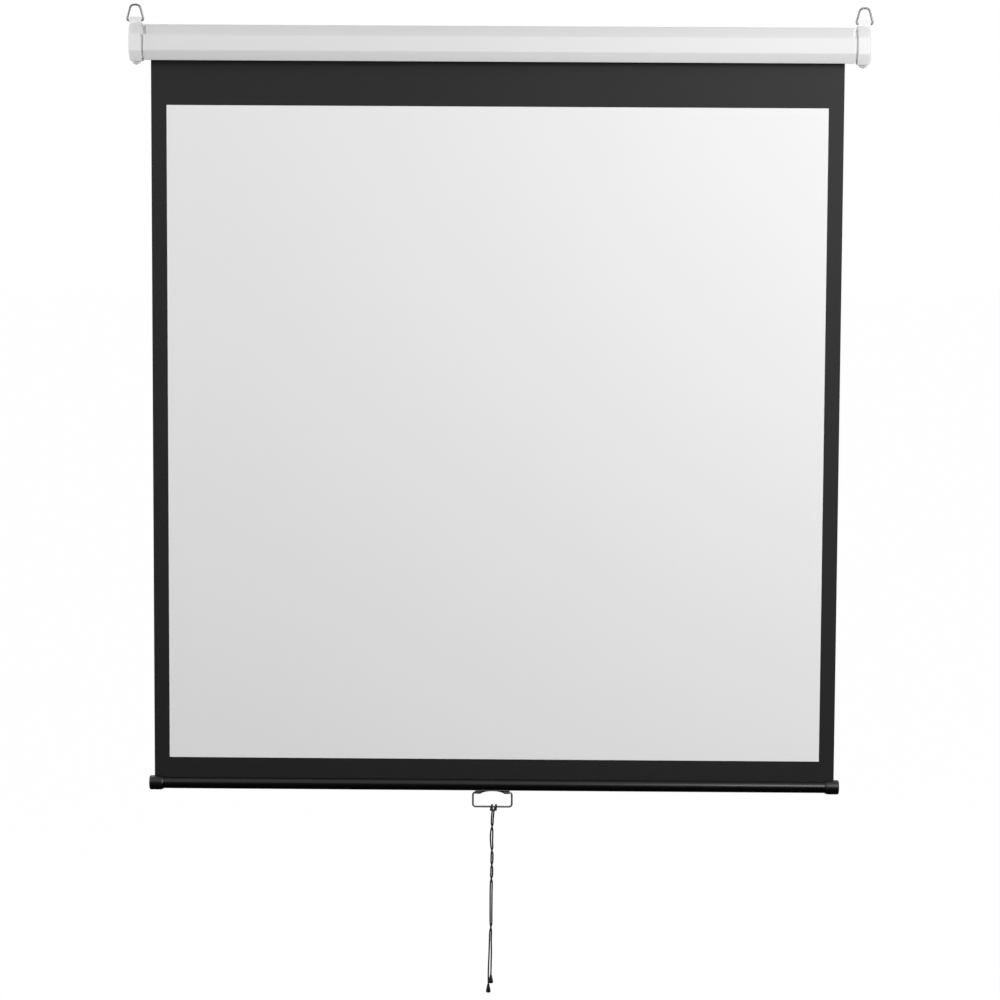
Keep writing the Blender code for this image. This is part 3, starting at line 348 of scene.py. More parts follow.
def turned(profile, steps, place, direction=(0, 0, 1)):
    """A round piece raised ring by ring from a circle. The profile is (radius, height) from end to
    end. Radii of 0 at both ends close it, and a profile clear of the axis is closed on itself."""
    rings = [ring for ring in profile if ring[0] > 0]
    bpy.ops.mesh.primitive_circle_add(vertices=steps, radius=rings[0][0], location=(0, 0, 0))
    piece = bpy.context.object
    edit(piece)
    bpy.ops.transform.translate(value=(0, 0, rings[0][1]))
    for (radius, height), (wider, higher) in zip(rings, rings[1:]):
        bpy.ops.mesh.extrude_region_move(TRANSFORM_OT_translate={"value": (0, 0, higher - height)})
        ratio = wider / radius
        bpy.ops.transform.resize(value=(ratio, ratio, 1), center_override=(0, 0, higher))
    if rings == profile:
        choose(piece, "EDGE", lambda edge: len(edge.link_faces) == 1)
        bpy.ops.mesh.bridge_edge_loops()
    else:
        last = (len(rings) - 1) * steps
        for tip, height, first in ((profile[0][1], rings[0][1], 0), (profile[-1][1], rings[-1][1], last)):
            choose(piece, "VERT", lambda corner: first <= corner.index < first + steps)
            bpy.ops.mesh.edge_face_add()
            if abs(tip - height) > SAME:
                bpy.ops.mesh.poke()
                choose(piece, "VERT", lambda corner: corner.co.xy.length < SAME
                       and abs(corner.co.z - height) < SAME)
                bpy.ops.transform.translate(value=(0, 0, tip - height))
    leave()
    face_out(piece)
    piece.rotation_euler = Vector((0, 0, 1)).rotation_difference(Vector(direction)).to_euler()
    piece.location = place
    bpy.ops.object.transform_apply(location=True, rotation=True, scale=True)
    return piece


def arc(radius, start, end, steps, centre=(0, 0)):
    """Points of an arc in degrees, both ends included."""
    angles = np.radians(np.linspace(start, end, steps + 1))
    return [(centre[0] + radius * math.cos(a), centre[1] + radius * math.sin(a)) for a in angles]


def circle(radius, steps, centre=(0, 0)):
    return arc(radius, 0, 360, steps, centre)[:-1]


def rectangle(left, right, low, high):
    return [(left, low), (right, low), (right, high), (left, high)]


def set_at(centre, outline):
    """An outline moved to a centre in its own plane."""
    return [(centre[0] + a, centre[1] + b) for a, b in outline]


def rounded_end(radius, depth, start, sweep, steps):
    """The profile of a dome that goes down from its widest ring at the start, for turned()."""
    return [(radius * math.cos(a), start - depth * math.sin(a)) for a in np.linspace(0, sweep, steps)]


def rounded_path(corners, radius, steps):
    """A path through the corners with an arc in place of each inner corner."""
    points = [Vector(corner) for corner in corners]
    path = [points[0]]
    for before, here, after in zip(points, points[1:], points[2:]):
        towards = (here - before).normalized()
        away = (after - here).normalized()
        turn = towards.angle(away)
        side = (away - towards * towards.dot(away)).normalized()
        start = here - towards * radius * math.tan(turn / 2)
        for step in range(steps + 1):
            angle = turn * step / steps
            path.append(start + (towards * math.sin(angle) + side * (1 - math.cos(angle))) * radius)
    return [*path, points[-1]]


def smooth_path(route, steps):
    """Points along a smooth curve through those of a route, with steps of them to each leg."""
    knots = np.array(route, float)
    knots = np.vstack([2 * knots[0] - knots[1], knots, 2 * knots[-1] - knots[-2]])
    share = np.linspace(0, 1, steps, endpoint=False)[:, None]
    path = []
    for a, b, c, d in zip(knots, knots[1:], knots[2:], knots[3:]):
        slope = (c - a) / 2
        bend = (2 * a - 5 * b + 4 * c - d) / 2
        twist = (3 * b - a - 3 * c + d) / 2
        path.extend(b + slope * share + bend * share**2 + twist * share**3)
    return [*path, knots[-2]]


def wire(path, diameter, around):
    """A round wire or cord along a path, as a mesh with its length along U."""
    bpy.ops.curve.primitive_nurbs_path_add(location=(0, 0, 0))
    piece = bpy.context.object
    curve = piece.data
    curve.splines.clear()
    spline = curve.splines.new("POLY")
    spline.points.add(len(path) - 1)
    for spot, point in zip(spline.points, path):
        spot.co = (*point, 1)
    curve.bevel_depth = diameter / 2
    curve.bevel_resolution = around
    curve.use_fill_caps = True
    curve.twist_mode = "MINIMUM"
    bpy.ops.object.convert(target="MESH")
    edit(piece)
    bpy.ops.mesh.remove_doubles(threshold=SAME)
    leave()
    return face_out(piece)


def hand_over(thing, name, body, replaced, slot, *finishes):
    """Names a finished piece, puts its origin at the frame's, and gives it its body and finishes."""
    only(thing)
    bpy.ops.object.transform_apply(location=True, rotation=True, scale=True)
    bpy.ops.object.shade_smooth_by_angle(angle=math.radians(32))
    thing.name = name
    thing.data.name = name
    if finishes:
        thing.data.materials.clear()
    for finish in finishes:
        thing.data.materials.append(finish)
    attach(thing, body)
    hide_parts(*replaced)


# Materials

def feed(tree, node, inputs):
    """Sets a node's inputs, by name or number, or links them where the value is an output."""
    for name, value in dict(inputs).items():
        if isinstance(value, bpy.types.NodeSocket):
            tree.links.new(value, node.inputs[name])
        else:
            node.inputs[name].default_value = value
    return node


def add(tree, kind, inputs=(), **settings):
    """Adds a node with its settings and its inputs."""
    node = tree.nodes.new("ShaderNode" + kind)
    for name, value in settings.items():
        setattr(node, name, value)
    return feed(tree, node, inputs)


def finish_named(name):
    """A material of that name, made once, with its tree and shader and whether it is new."""
    known = bpy.data.materials.get(name)
    material = known or bpy.data.materials.new(name)
    material.use_nodes = True
    return material, material.node_tree, material.node_tree.nodes["Principled BSDF"], known is None


def painted(colour, share=1):
    """A colour as a node takes it, made darker or lighter by a share."""
    return (*(c * share for c in colour), 1)


def seen_directly(tree):
    """1 for what the camera, a mirror or glass sees, and 0 for light that only arrives."""
    ray = add(tree, "LightPath")
    mirror = add(tree, "Math", {0: ray.outputs["Is Glossy Ray"], 1: ray.outputs["Is Transmission Ray"]},
                 operation="MAXIMUM")
    return add(tree, "Math", {0: ray.outputs["Is Camera Ray"], 1: mirror.outputs[0]},
               operation="MAXIMUM").outputs[0]


class Noise(NamedTuple):
    """A noise on a piece's own place: its scale, detail and roughness, and how its place is squeezed."""
    scale: float
    detail: float
    roughness: float = 0.5
    squeeze: tuple = ()


def grained(name, dark, light, tone, relief, bump, rough=(), sockets=()):
    """A finish that follows noises. Tone mixes its dark and light colour, and relief raises it with
    bump's strength and distance. Rough is a noise and the two roughnesses that it goes between."""
    finish, tree, shader, new = finish_named(name)
    if new:
        place = add(tree, "TexCoord").outputs["Object"]
        heights = {}
        for noise in (tone, relief, *rough[:1]):
            if noise in heights:
                continue
            spot = place
            if noise.squeeze:
                spot = add(tree, "Mapping", {"Vector": place, "Scale": noise.squeeze}).outputs[0]
            heights[noise] = add(tree, "TexNoise", {
                "Vector": spot, "Scale": noise.scale, "Detail": noise.detail, "Roughness": noise.roughness,
            }).outputs["Fac"]
        shade = add(tree, "Mix", {0: heights[tone], 6: dark, 7: light}, data_type="RGBA")
        raised = add(tree, "Bump", {"Height": heights[relief], "Strength": bump[0], "Distance": bump[1]})
        feed(tree, shader, {"Base Color": shade.outputs[2], "Normal": raised.outputs[0]})
        if rough:
            span = add(tree, "MapRange", {"Value": heights[rough[0]], 3: rough[1], 4: rough[2]})
            feed(tree, shader, {"Roughness": span.outputs[0]})
        feed(tree, shader, sockets)
    return finish


def powder_coat():
    # Powder melted on sheet steel: dull satin, with a faint orange peel 2 mm across
    coat, peel = bpy.context.scene.screen_housing.coat, Noise(480, 2, 0.4)
    return grained("Powder-coated sheet steel", painted(coat, 0.985), painted(coat), Noise(9, 3), peel,
                   (0.10, 0.0004), (peel, 0.80, 0.88), {"IOR": 1.50})


def white_abs():
    # ABS from a spark-finished mould: a dull satin, with a grain finer than half a millimetre
    moulding, tone = bpy.context.scene.screen_housing.moulding, Noise(60, 2)
    return grained("Moulded ABS, white", painted(moulding, 0.98), painted(moulding), tone, Noise(2200, 2),
                   (0.08, 0.0001), (tone, 0.76, 0.84), {"IOR": 1.54})


def zinc_plate():
    # Zinc on drawn wire: a greyish metal, clouded by its passivation, with fine die marks
    zinc, cloud = bpy.context.scene.screen_housing.zinc, Noise(160, 4, 0.6)
    return grained("Zinc-plated steel", painted(zinc, 0.8), painted(zinc), cloud, Noise(2600, 2),
                   (0.12, 0.0001), (cloud, 0.30, 0.48), {"Metallic": 1})


def worked_steel(name, dark, light, roughness, squeeze):
    # Drawn, rolled or stamped steel: bright, with fine lines the way it was worked, and a little oil
    # that clouds them
    lines = Noise(700, 3, 0.5, squeeze)
    return grained(name, painted(linear(dark)), painted(linear(light)), lines, lines, (0.10, 0.0001),
                   (Noise(70, 3), roughness, roughness + 0.14), {"Metallic": 1})


def screw_steel():
    return worked_steel("Bright screw steel", "A9ABAD", "CFD1D2", 0.24, (1, 1, 1))


def natural_nylon():
    # Unpigmented nylon: cream, slightly clouded and a little translucent
    cloud = Noise(90, 3)
    sockets = {"Roughness": 0.48, "IOR": 1.53, "Subsurface Weight": 0.15, "Subsurface Scale": 0.002}
    return grained("Moulded nylon, natural", painted(linear("D9D3BF")), painted(linear("E6E1D0")), cloud,
                   cloud, (0.05, 0.0003), sockets=sockets)


def black_enamel():
    # Baked enamel on the rolled bar: nearly glossy, with a faint ripple left by the spray
    paint, dust = bpy.context.scene.screen_bar.paint, Noise(30, 4)
    return grained("Baked enamel, black", painted(paint), painted(paint, 1.25), dust, Noise(260, 2),
                   (0.06, 0.0003), (dust, 0.30, 0.38), {"IOR": 1.40})


def black_abs():
    # Black ABS, moulded with a fine grain that keeps its shine soft
    moulding, grain = bpy.context.scene.screen_bar.moulding, Noise(1800, 2)
    return grained("Moulded ABS, black", painted(moulding), painted(moulding, 1.3), Noise(120, 2), grain,
                   (0.12, 0.0001), (grain, 0.34, 0.46), {"IOR": 1.45})


def coated_cloth(name, colour, roughness, depth):
    # PVC calendered on a glass-fibre scrim: dead matt, with the threads just telling through it.
    # Real threads lie 0.5 mm apart; they are drawn a little coarser so that they can show.
    finish, tree, shader, new = finish_named(name)
    if new:
        place = add(tree, "TexCoord").outputs["Object"]
        threads = {"Vector": place, "Scale": math.tau / 20 / bpy.context.scene.screen_sheet.weave,
                   "Distortion": 0.6, "Detail": 1, "Detail Scale": 0.6}
        warp, weft = (add(tree, "TexWave", threads, bands_direction=way) for way in "XZ")
        scrim = add(tree, "Math", {0: warp.outputs["Fac"], 1: weft.outputs["Fac"]}, operation="ADD")
        pores = add(tree, "TexNoise", {"Vector": place, "Scale": 1500, "Detail": 2})
        height = add(tree, "Math", {0: scrim.outputs[0], 1: pores.outputs["Fac"]}, operation="ADD")
        raised = add(tree, "Bump", {"Height": height.outputs[0], "Strength": depth, "Distance": 0.0001})
        cloud = add(tree, "TexNoise", {"Vector": place, "Scale": 2.2, "Detail": 2})
        shade = add(tree, "Mix", {0: cloud.outputs["Fac"], 6: painted(colour, 0.985), 7: painted(colour)},
                    data_type="RGBA")
        feed(tree, shader, {"Base Color": shade.outputs[2], "Normal": raised.outputs[0],
                            "Roughness": roughness, "IOR": 1.45})
    return finish


def braided_cord(name, run):
    # Braided polyester: two sets of strands that cross on the slant, dull, with soft fibres. Shade is
    # painted dark into the braid's valleys, and a highlight is painted light onto its crests.
    finish, tree, shader, new = finish_named(name)
    if new:
        settings = bpy.context.scene.screen_cord
        along, strands = run / settings.braid, 4
        place = add(tree, "UVMap", uv_map="UVMap").outputs["UV"]
        split = add(tree, "SeparateXYZ", {0: place})
        turns = add(tree, "Math", {0: split.outputs["X"], 1: along}, operation="MULTIPLY")
        around = add(tree, "Math", {0: split.outputs["Y"], 1: strands}, operation="MULTIPLY")
        crests = []
        for slant in ("ADD", "SUBTRACT"):
            strand = add(tree, "Math", {0: turns.outputs[0], 1: around.outputs[0]}, operation=slant)
            loop = add(tree, "Math", {0: strand.outputs[0], 1: 1}, operation="PINGPONG")
            crests.append(add(tree, "Math", {0: loop.outputs[0], 1: 0.6}, operation="POWER").outputs[0])
        weave = add(tree, "Math", {0: crests[0], 1: crests[1]}, operation="MAXIMUM").outputs[0]
        fibres = add(tree, "TexNoise", {"Vector": place, "Scale": along * 3, "Detail": 3})
        # Painted shade and painted highlight: the yarn's colour is halved in the valleys between strands
        # and nearly doubled on their crests
        shade = add(tree, "Mix", {0: weave, 6: painted(settings.yarn, 0.5), 7: painted(settings.yarn, 1.9)},
                    data_type="RGBA")
        height = add(tree, "Math", {0: weave, 1: fibres.outputs["Fac"]}, operation="ADD")
        raised = add(tree, "Bump", {"Height": height.outputs[0], "Strength": 0.6, "Distance": 0.0003})
        feed(tree, shader, {"Base Color": shade.outputs[2], "Normal": raised.outputs[0], "Roughness": 0.72,
                            "IOR": 1.45, "Sheen Weight": 0.04, "Sheen Roughness": 0.5})
    return finish


# Shapes that several pieces share

def case_section(inset=0.0):
    """The case's outer section, as (y, z), with its sides moved in, or out for a negative inset."""
    corners = [Vector(corner) for corner in (
        (-HALF_DEPTH + LOWER_RUN, CASE_BOTTOM), (HALF_DEPTH - LOWER_RUN, CASE_BOTTOM),
        (HALF_DEPTH, -FACET_HALF), (HALF_DEPTH, FACET_HALF),
        (HALF_DEPTH - UPPER_RUN, CASE_TOP), (-HALF_DEPTH + UPPER_RUN, CASE_TOP),
        (-HALF_DEPTH, FACET_HALF), (-HALF_DEPTH, -FACET_HALF),
    )]
    section = []
    for before, here, after in zip(corners[-1:] + corners[:-1], corners, corners[1:] + corners[:1]):
        towards = (here - before).normalized()
        away = (after - here).normalized()
        inwards = Vector((-towards.y - away.y, towards.x + away.x))
        section.append(here + inwards * inset / (1 + towards.dot(away)) + CASE_MIDDLE.yz)
    return section


def from_end(side, distance):
    """World x of a place that lies inside the outer face of the left (-1) or right (1) cap."""
    return side * (CAP_END - distance)


def section_block(inset, side, start, end):
    return prism(case_section(inset), "X", from_end(side, start), from_end(side, end))


def notch_block(side):
    """The wedge that is missing from the upper front facet, longer at the facet's foot."""
    over, deep, upper_reach, lower_reach = 0.0015, 0.0045, 0.003, 0.0085
    high, low = case_section()[5:7]
    along = (low - high).normalized()
    outwards = Vector((along.y, -along.x))
    high, low = high + along * over, low - along * over
    shell_end = CAP_LENGTH + GROOVE_WIDTH
    outline = [high + outwards * over, high - outwards * deep,
               low - outwards * deep, low + outwards * over]
    block = prism(outline, "X", 0, 1)
    for corner in block.data.vertices:
        upper = corner.co.z > (high.y + low.y) / 2
        reach = shell_end + (upper_reach if upper else lower_reach)
        inside = corner.co.x > 0.5
        corner.co.x = from_end(side, reach if inside else shell_end - GROOVE_WIDTH / 2)
    return face_out(block)


# Pieces

class ScreenStage(bpy.types.Operator):
    """Add the camera, the lamps, the pale floor and the white surroundings"""
    bl_idname = "screen.stage"
    bl_label = "Stage"

    def execute(self, context):
        stage = context.scene.screen_stage
        # The camera's place, angles and lens come from a fit to the photograph's edges
        right, height, lens = 0.1017, -0.1278, 134.52
        pitch, yaw, roll = math.radians(6.6532), math.radians(-0.6394), math.radians(0.3024)
        bpy.ops.object.camera_add(location=(right, -stage.distance, height))
        camera = context.object
        look = Vector((math.sin(yaw) * math.cos(pitch), math.cos(yaw) * math.cos(pitch),
                       -math.sin(pitch)))
        turn = look.to_track_quat("-Z", "Y") @ Quaternion((0, 0, 1), roll)
        camera.rotation_euler = turn.to_euler()
        camera.data.lens = lens
        camera.data.sensor_width = 36
        camera.data.clip_end = 100
        context.scene.camera = camera

        whole, case = Vector((0, 0, -0.9)), Vector((0, 0, 0.05))
        for name, place, aim, size, power in (
            ("key", (2.0, -3.0, 0.5), whole, 1.4, stage.key),
            ("fill", (-3.2, -1.8, 0.3), whole, 1.6, stage.fill),
            ("left_side", (-3.0, 0.3, 0.3), case, 1.2, stage.left),
            ("right_side", (3.0, 0.3, 0.3), case, 1.2, stage.right),
            ("back", (-0.6, 3.2, 1.6), whole, 2.2, stage.back),
        ):
            bpy.ops.object.light_add(type="AREA", location=place)
            lamp = context.object
            lamp.name = name
            lamp.rotation_euler = (aim - Vector(place)).to_track_quat("-Z", "Y").to_euler()
            lamp.data.size = size
            lamp.data.energy = power

        world = bpy.data.worlds.new("White surroundings")
        context.scene.world = world
        world.use_nodes = True
        tree = world.node_tree
        soft = feed(tree, tree.nodes["Background"],
                    {"Color": painted(linear("F8F8F8")), "Strength": stage.world})
        white = add(tree, "Background", {"Color": painted((1, 1, 1)), "Strength": 1})
        both = add(tree, "MixShader", {0: seen_directly(tree), 1: soft.outputs[0], 2: white.outputs[0]})
        feed(tree, tree.nodes["World Output"], {"Surface": both.outputs[0]})

        ground = CAD_BOX[0][2] - stage.floor_drop
        bpy.ops.mesh.primitive_plane_add(size=60, location=(0, 10, ground))
        floor = context.object
        floor.name = "pale_floor"
        finish, tree, shader, _ = finish_named("Pale studio floor")
        feed(tree, shader, {"Base Color": painted(linear("DEDEDE")), "Roughness": 0.9,
                            "Specular IOR Level": 0.1})
        glow = add(tree, "Emission", {"Color": painted((1, 1, 1)), "Strength": 1.02})
        share = add(tree, "Math", {0: seen_directly(tree), 1: 0.97}, operation="MULTIPLY")
        both = add(tree, "MixShader", {0: share.outputs[0], 1: shader.outputs[0], 2: glow.outputs[0]})
        feed(tree, tree.nodes["Material Output"], {"Surface": both.outputs[0]})
        floor.data.materials.append(finish)

        # A photographer's dark flag, laid in front of the screen and raised behind the camera. Only
        # mirrors see it: it keeps black paint black and takes no light off the object.
        bpy.ops.mesh.primitive_plane_add(size=1, location=(0, -6.25, ground + 0.02))
        flag = context.object
        flag.name = "dark_flag"
        flag.scale = (26, 15.5, 1)
        bpy.ops.object.transform_apply(location=False, rotation=False, scale=True)
        edit(flag)
        choose(flag, "EDGE", lambda edge: all(corner.co.y < 0 for corner in edge.verts))
        bpy.ops.mesh.extrude_region_move(TRANSFORM_OT_translate={"value": (0, 0, 4 - ground)})
        leave()
        flag.visible_camera = flag.visible_diffuse = flag.visible_shadow = False
        flag.visible_transmission = flag.visible_volume_scatter = False
        finish, tree, shader, _ = finish_named("Black flag felt")
        feed(tree, shader, {"Base Color": painted(linear("0C0C0C")), "Roughness": 1,
                            "Specular IOR Level": 0})
        flag.data.materials.append(finish)
        for thing in (floor, flag):
            only(thing)
            bpy.ops.object.transform_apply(location=True, rotation=True, scale=True)
        context.scene.view_settings.view_transform = "Standard"
        return {"FINISHED"}


class ScreenCase(bpy.types.Operator):
    """Fold the case out of one strip of sheet steel, with a slot underneath and a notch at each end"""
    bl_idname = "screen.case"
    bl_label = "Case"

    def execute(self, context):
        housing = context.scene.screen_housing
        corners = case_section()
        slot_front, slot_back = HANDLE_PIVOT.y - SLOT_WIDTH / 2, HANDLE_PIVOT.y + SLOT_WIDTH / 2
        bottom = corners[0].y
        section = [
            Vector((slot_front, bottom + SLOT_LIP)), Vector((slot_front, bottom)), corners[0],
            *corners[:0:-1], Vector((slot_back, bottom)), Vector((slot_back, bottom + SLOT_LIP)),
        ]
        start, end = CASE_LOW.x, CASE_HIGH.x
        bpy.ops.mesh.primitive_plane_add(size=2, location=(0, 0, 0))
        shell = context.object
        for corner in shell.data.vertices:
            spot = section[0] if corner.co.y < 0 else section[1]
            corner.co = (start if corner.co.x < 0 else end, *spot)
        edit(shell)
        for before, after in zip(section[1:], section[2:]):
            choose(shell, "EDGE", lambda edge: all((corner.co.yz - before).length < SAME
                                                  for corner in edge.verts))
            bpy.ops.mesh.extrude_region_move(TRANSFORM_OT_translate={"value": (0, *(after - before))})
        bpy.ops.mesh.select_all(action="SELECT")
        bpy.ops.mesh.normals_make_consistent(inside=False)
        leave()
        # The strip is open, so its outer side may still face inwards
        highest = max(shell.data.polygons, key=lambda face: face.center.z)
        if highest.normal.z < 0:
            edit(shell)
            bpy.ops.mesh.flip_normals()
            leave()
        soften(shell, housing.bend, 6, 25)
        # The two bends behind the slot meet in one line, where their corners are made one
        edit(shell)
        bpy.ops.mesh.remove_doubles(threshold=5e-5)
        leave()
        modify(shell, "SOLIDIFY", thickness=WALL, offset=-1, use_even_offset=True)
        for side in SIDES.values():
            carve(shell, notch_block(side))
        soften(shell, SHEARED_EDGE, 2, 60)
        hand_over(shell, "folded_case", "case", ["case_shell"], "white_powder_coat", powder_coat())
        return {"FINISHED"}


class ScreenEndCaps(bpy.types.Operator):
    """Mould the two end caps with their grooves, sockets and bosses, and drive in their screws"""
    bl_idname = "screen.end_caps"
    bl_label = "End caps"

    def execute(self, context):
        housing = context.scene.screen_housing
        groove = CAP_LENGTH + GROOVE_WIDTH
        beyond = groove + 2 * SPIGOT
        inner_rounding, slant_rounding, wall = 0.002, 0.0012, 0.0025
        cap = section_block(-CAP_PROUD, -1, 0, CAP_LENGTH)
        edit(cap)
        for face, width, segments in ((0, housing.cap_rounding, 10), (CAP_LENGTH, inner_rounding, 4)):
            flat = from_end(-1, face)
            choose(cap, "EDGE", lambda edge: all(abs(corner.co.x - flat) < SAME for corner in edge.verts))
            bpy.ops.mesh.bevel(offset=width, segments=segments, profile=0.5)
        leave()
        soften(cap, slant_rounding, 4, 28)
        spigot = soften(section_block(WALL + FIT, -1, groove, groove + SPIGOT), CAP_PROUD / 2, 2, 25)
        weld(cap, section_block(GROOVE_DEPTH, -1, CAP_LENGTH - OVERLAP, groove + OVERLAP), spigot)
        # The spigot is hollow and leaves room for the case's two lips
        low, reach = CASE_LOW.z - WALL, SLOT_WIDTH / 2 + WALL + FIT
        lips = rectangle(HANDLE_PIVOT.y - reach, HANDLE_PIVOT.y + reach, low, low + 2 * SLOT_LIP)
        carve(cap, section_block(GROOVE_DEPTH + wall, -1, CAP_END_WALL, beyond),
              prism(lips, "X", from_end(-1, groove - FIT), from_end(-1, beyond)))

        # The screw goes up into a boss that stands out underneath
        boss_radius, boss_depth, boss_seat = 0.0105, 0.007, 0.0045
        shank, head, head_top, long, point = 0.0014, 0.0024, 0.0009, 0.010, 0.0012
        place = Vector((from_end(-1, CAP_LENGTH / 2), 0, CASE_LOW.z - CAP_PROUD))
        dome = rounded_end(boss_radius, boss_depth, 0, math.radians(66), 10)
        tip = dome[-1][1]
        foot = place + Vector((0, 0, tip))
        hole = [(0, long + FIT), (shank + FIT, long + FIT), (shank + FIT, head_top + FIT),
                (head + FIT, head_top + FIT), (head + FIT, -head_top - FIT), (0, -head_top - FIT)]
        weld(cap, turned([(0, boss_seat), (boss_radius, boss_seat), *dome, (0, tip)], 48, place))
        pivot = RING_PIVOTS["left"]
        half = TAB_FOOT_WIDTH / 2 + FIT
        pocket = rectangle(pivot.x - half, pivot.x + half, pivot.z + TAB_FOOT - FIT, pivot.z)
        carve(cap, turned(hole, 32, foot), prism(pocket, "Y", -TAB_THICKNESS / 2, TAB_THICKNESS / 2),
              notch_block(-1))

        # Inside, the left boss holds the shaft's flat blade and the right one the idler's bush
        blade, bore = rectangle(-0.0018, 0.0018, -0.0043, 0.0043), circle(0.0073, 40)
        boss = circle(0.012, 48, ROLLER.yz)
        for (name, each), socket, opening in zip(both_sides(cap), (0.019, 0.021), (blade, bore)):
            side = SIDES[name]
            bottom = from_end(side, CAP_END_WALL)
            weld(each, prism(boss, "X", from_end(side, CAP_END_WALL - OVERLAP), from_end(side, socket)))
            carve(each, prism(set_at(ROLLER.yz, opening), "X", bottom, from_end(side, socket + 0.002)))
            hand_over(each, f"{name}_moulded_cap", "case", [f"{name}_end_cap"], "white_moulding",
                      white_abs())

        rim = rounded_end(head, 0.0010, -0.0003, 1.3, 6)
        screw = turned([(0, long), (0.0008, long), (shank, long - point), (shank, head_top),
                        (head, head_top), *rim, (0, rim[-1][1])], 32, foot)
        for wide, deep in ((0.0013, 0.0003), (0.0003, 0.0013)):
            cross = rectangle(foot.x - wide, foot.x + wide, foot.y - deep, foot.y + deep)
            carve(screw, prism(cross, "Z", foot.z - 0.003, foot.z - 0.0005))
        for name, each in both_sides(screw):
            hand_over(each, f"{name}_cap_fixing", "case", [f"{name}_end_cap_screw"], "steel",
                      screw_steel())
        return {"FINISHED"}


class ScreenHangers(bpy.types.Operator):
    """Mould the two tabs on the caps, and bend the two hanging rings into them"""
    bl_idname = "screen.hangers"
    bl_label = "Hanging rings"

    def execute(self, context):
        housing = context.scene.screen_housing
        pivot = RING_PIVOTS["left"]
        half, depth, top, rounding = TAB_WIDTH / 2, TAB_THICKNESS / 2, 0.0085, 0.004
        crown, shoulder = top - rounding, half - rounding
        outline = [(half, TAB_SEAT), *arc(rounding, 0, 90, 10, (shoulder, crown)),
                   *arc(rounding, 90, 180, 10, (-shoulder, crown)), (-half, TAB_SEAT)]
        tab = soften(prism(set_at(pivot.xz, outline), "Y", -depth, depth), housing.edge, 3, 40)
        foot_half, seat = TAB_FOOT_WIDTH / 2, pivot.z + TAB_SEAT
        foot = rectangle(pivot.x - foot_half, pivot.x + foot_half, pivot.z + TAB_FOOT, seat + OVERLAP)
        weld(tab, prism(foot, "Y", FIT - depth, depth - FIT))
        # Each end has a bore for one of the ring's feet, and each face a sunk window
        toe_depth, sill, window_high, window_deep = 0.005, seat + 0.0006, 0.0036, 0.0028
        window = rectangle(pivot.x + 0.0005, pivot.x + 0.0083, sill, sill + window_high)
        bore = circle(RING_WIRE / 2 + FIT, 32, pivot.yz)
        for hand in SIDES.values():
            bottom, mouth = pivot.x + hand * (half - toe_depth), pivot.x + hand * (half + rounding)
            carve(tab, prism(bore, "X", bottom, mouth),
                  prism(window, "Y", hand * (depth - window_deep), hand * TAB_THICKNESS))
        soften(tab, 0.00018, 2, 50)

        toe = half - toe_depth + FIT
        reach, wide, high = 0.0181, 0.0098, 0.0356
        side_path = [(toe, 0, 0), (reach - 0.0012, 0, 0), (reach, 0, high * 0.14), (wide, 0, high)]
        corners = [(-x, y, z) for x, y, z in side_path] + side_path[::-1]
        left = rounded_path(corners[:4], RING_WIRE * 0.75, 10)[:-1]
        bow = rounded_path(corners[2:6], 0.0096, 12)[1:-1]
        right = [(-x, y, z) for x, y, z in left[::-1]]
        ring = wire([Vector(point) + pivot for point in (*left, *bow, *right)], RING_WIRE, 7)
        soften(ring, WIRE_END, 2, 60)
        for (name, lug), (_, loop) in zip(both_sides(tab), both_sides(ring)):
            hand_over(lug, f"{name}_moulded_tab", "case", [f"{name}_hanger_tab"], "white_moulding",
                      white_abs())
            hand_over(loop, f"{name}_wire_ring", f"{name}_ring", [f"{name}_hanging_ring"], "zinc_plate",
                      zinc_plate())
        return {"FINISHED"}


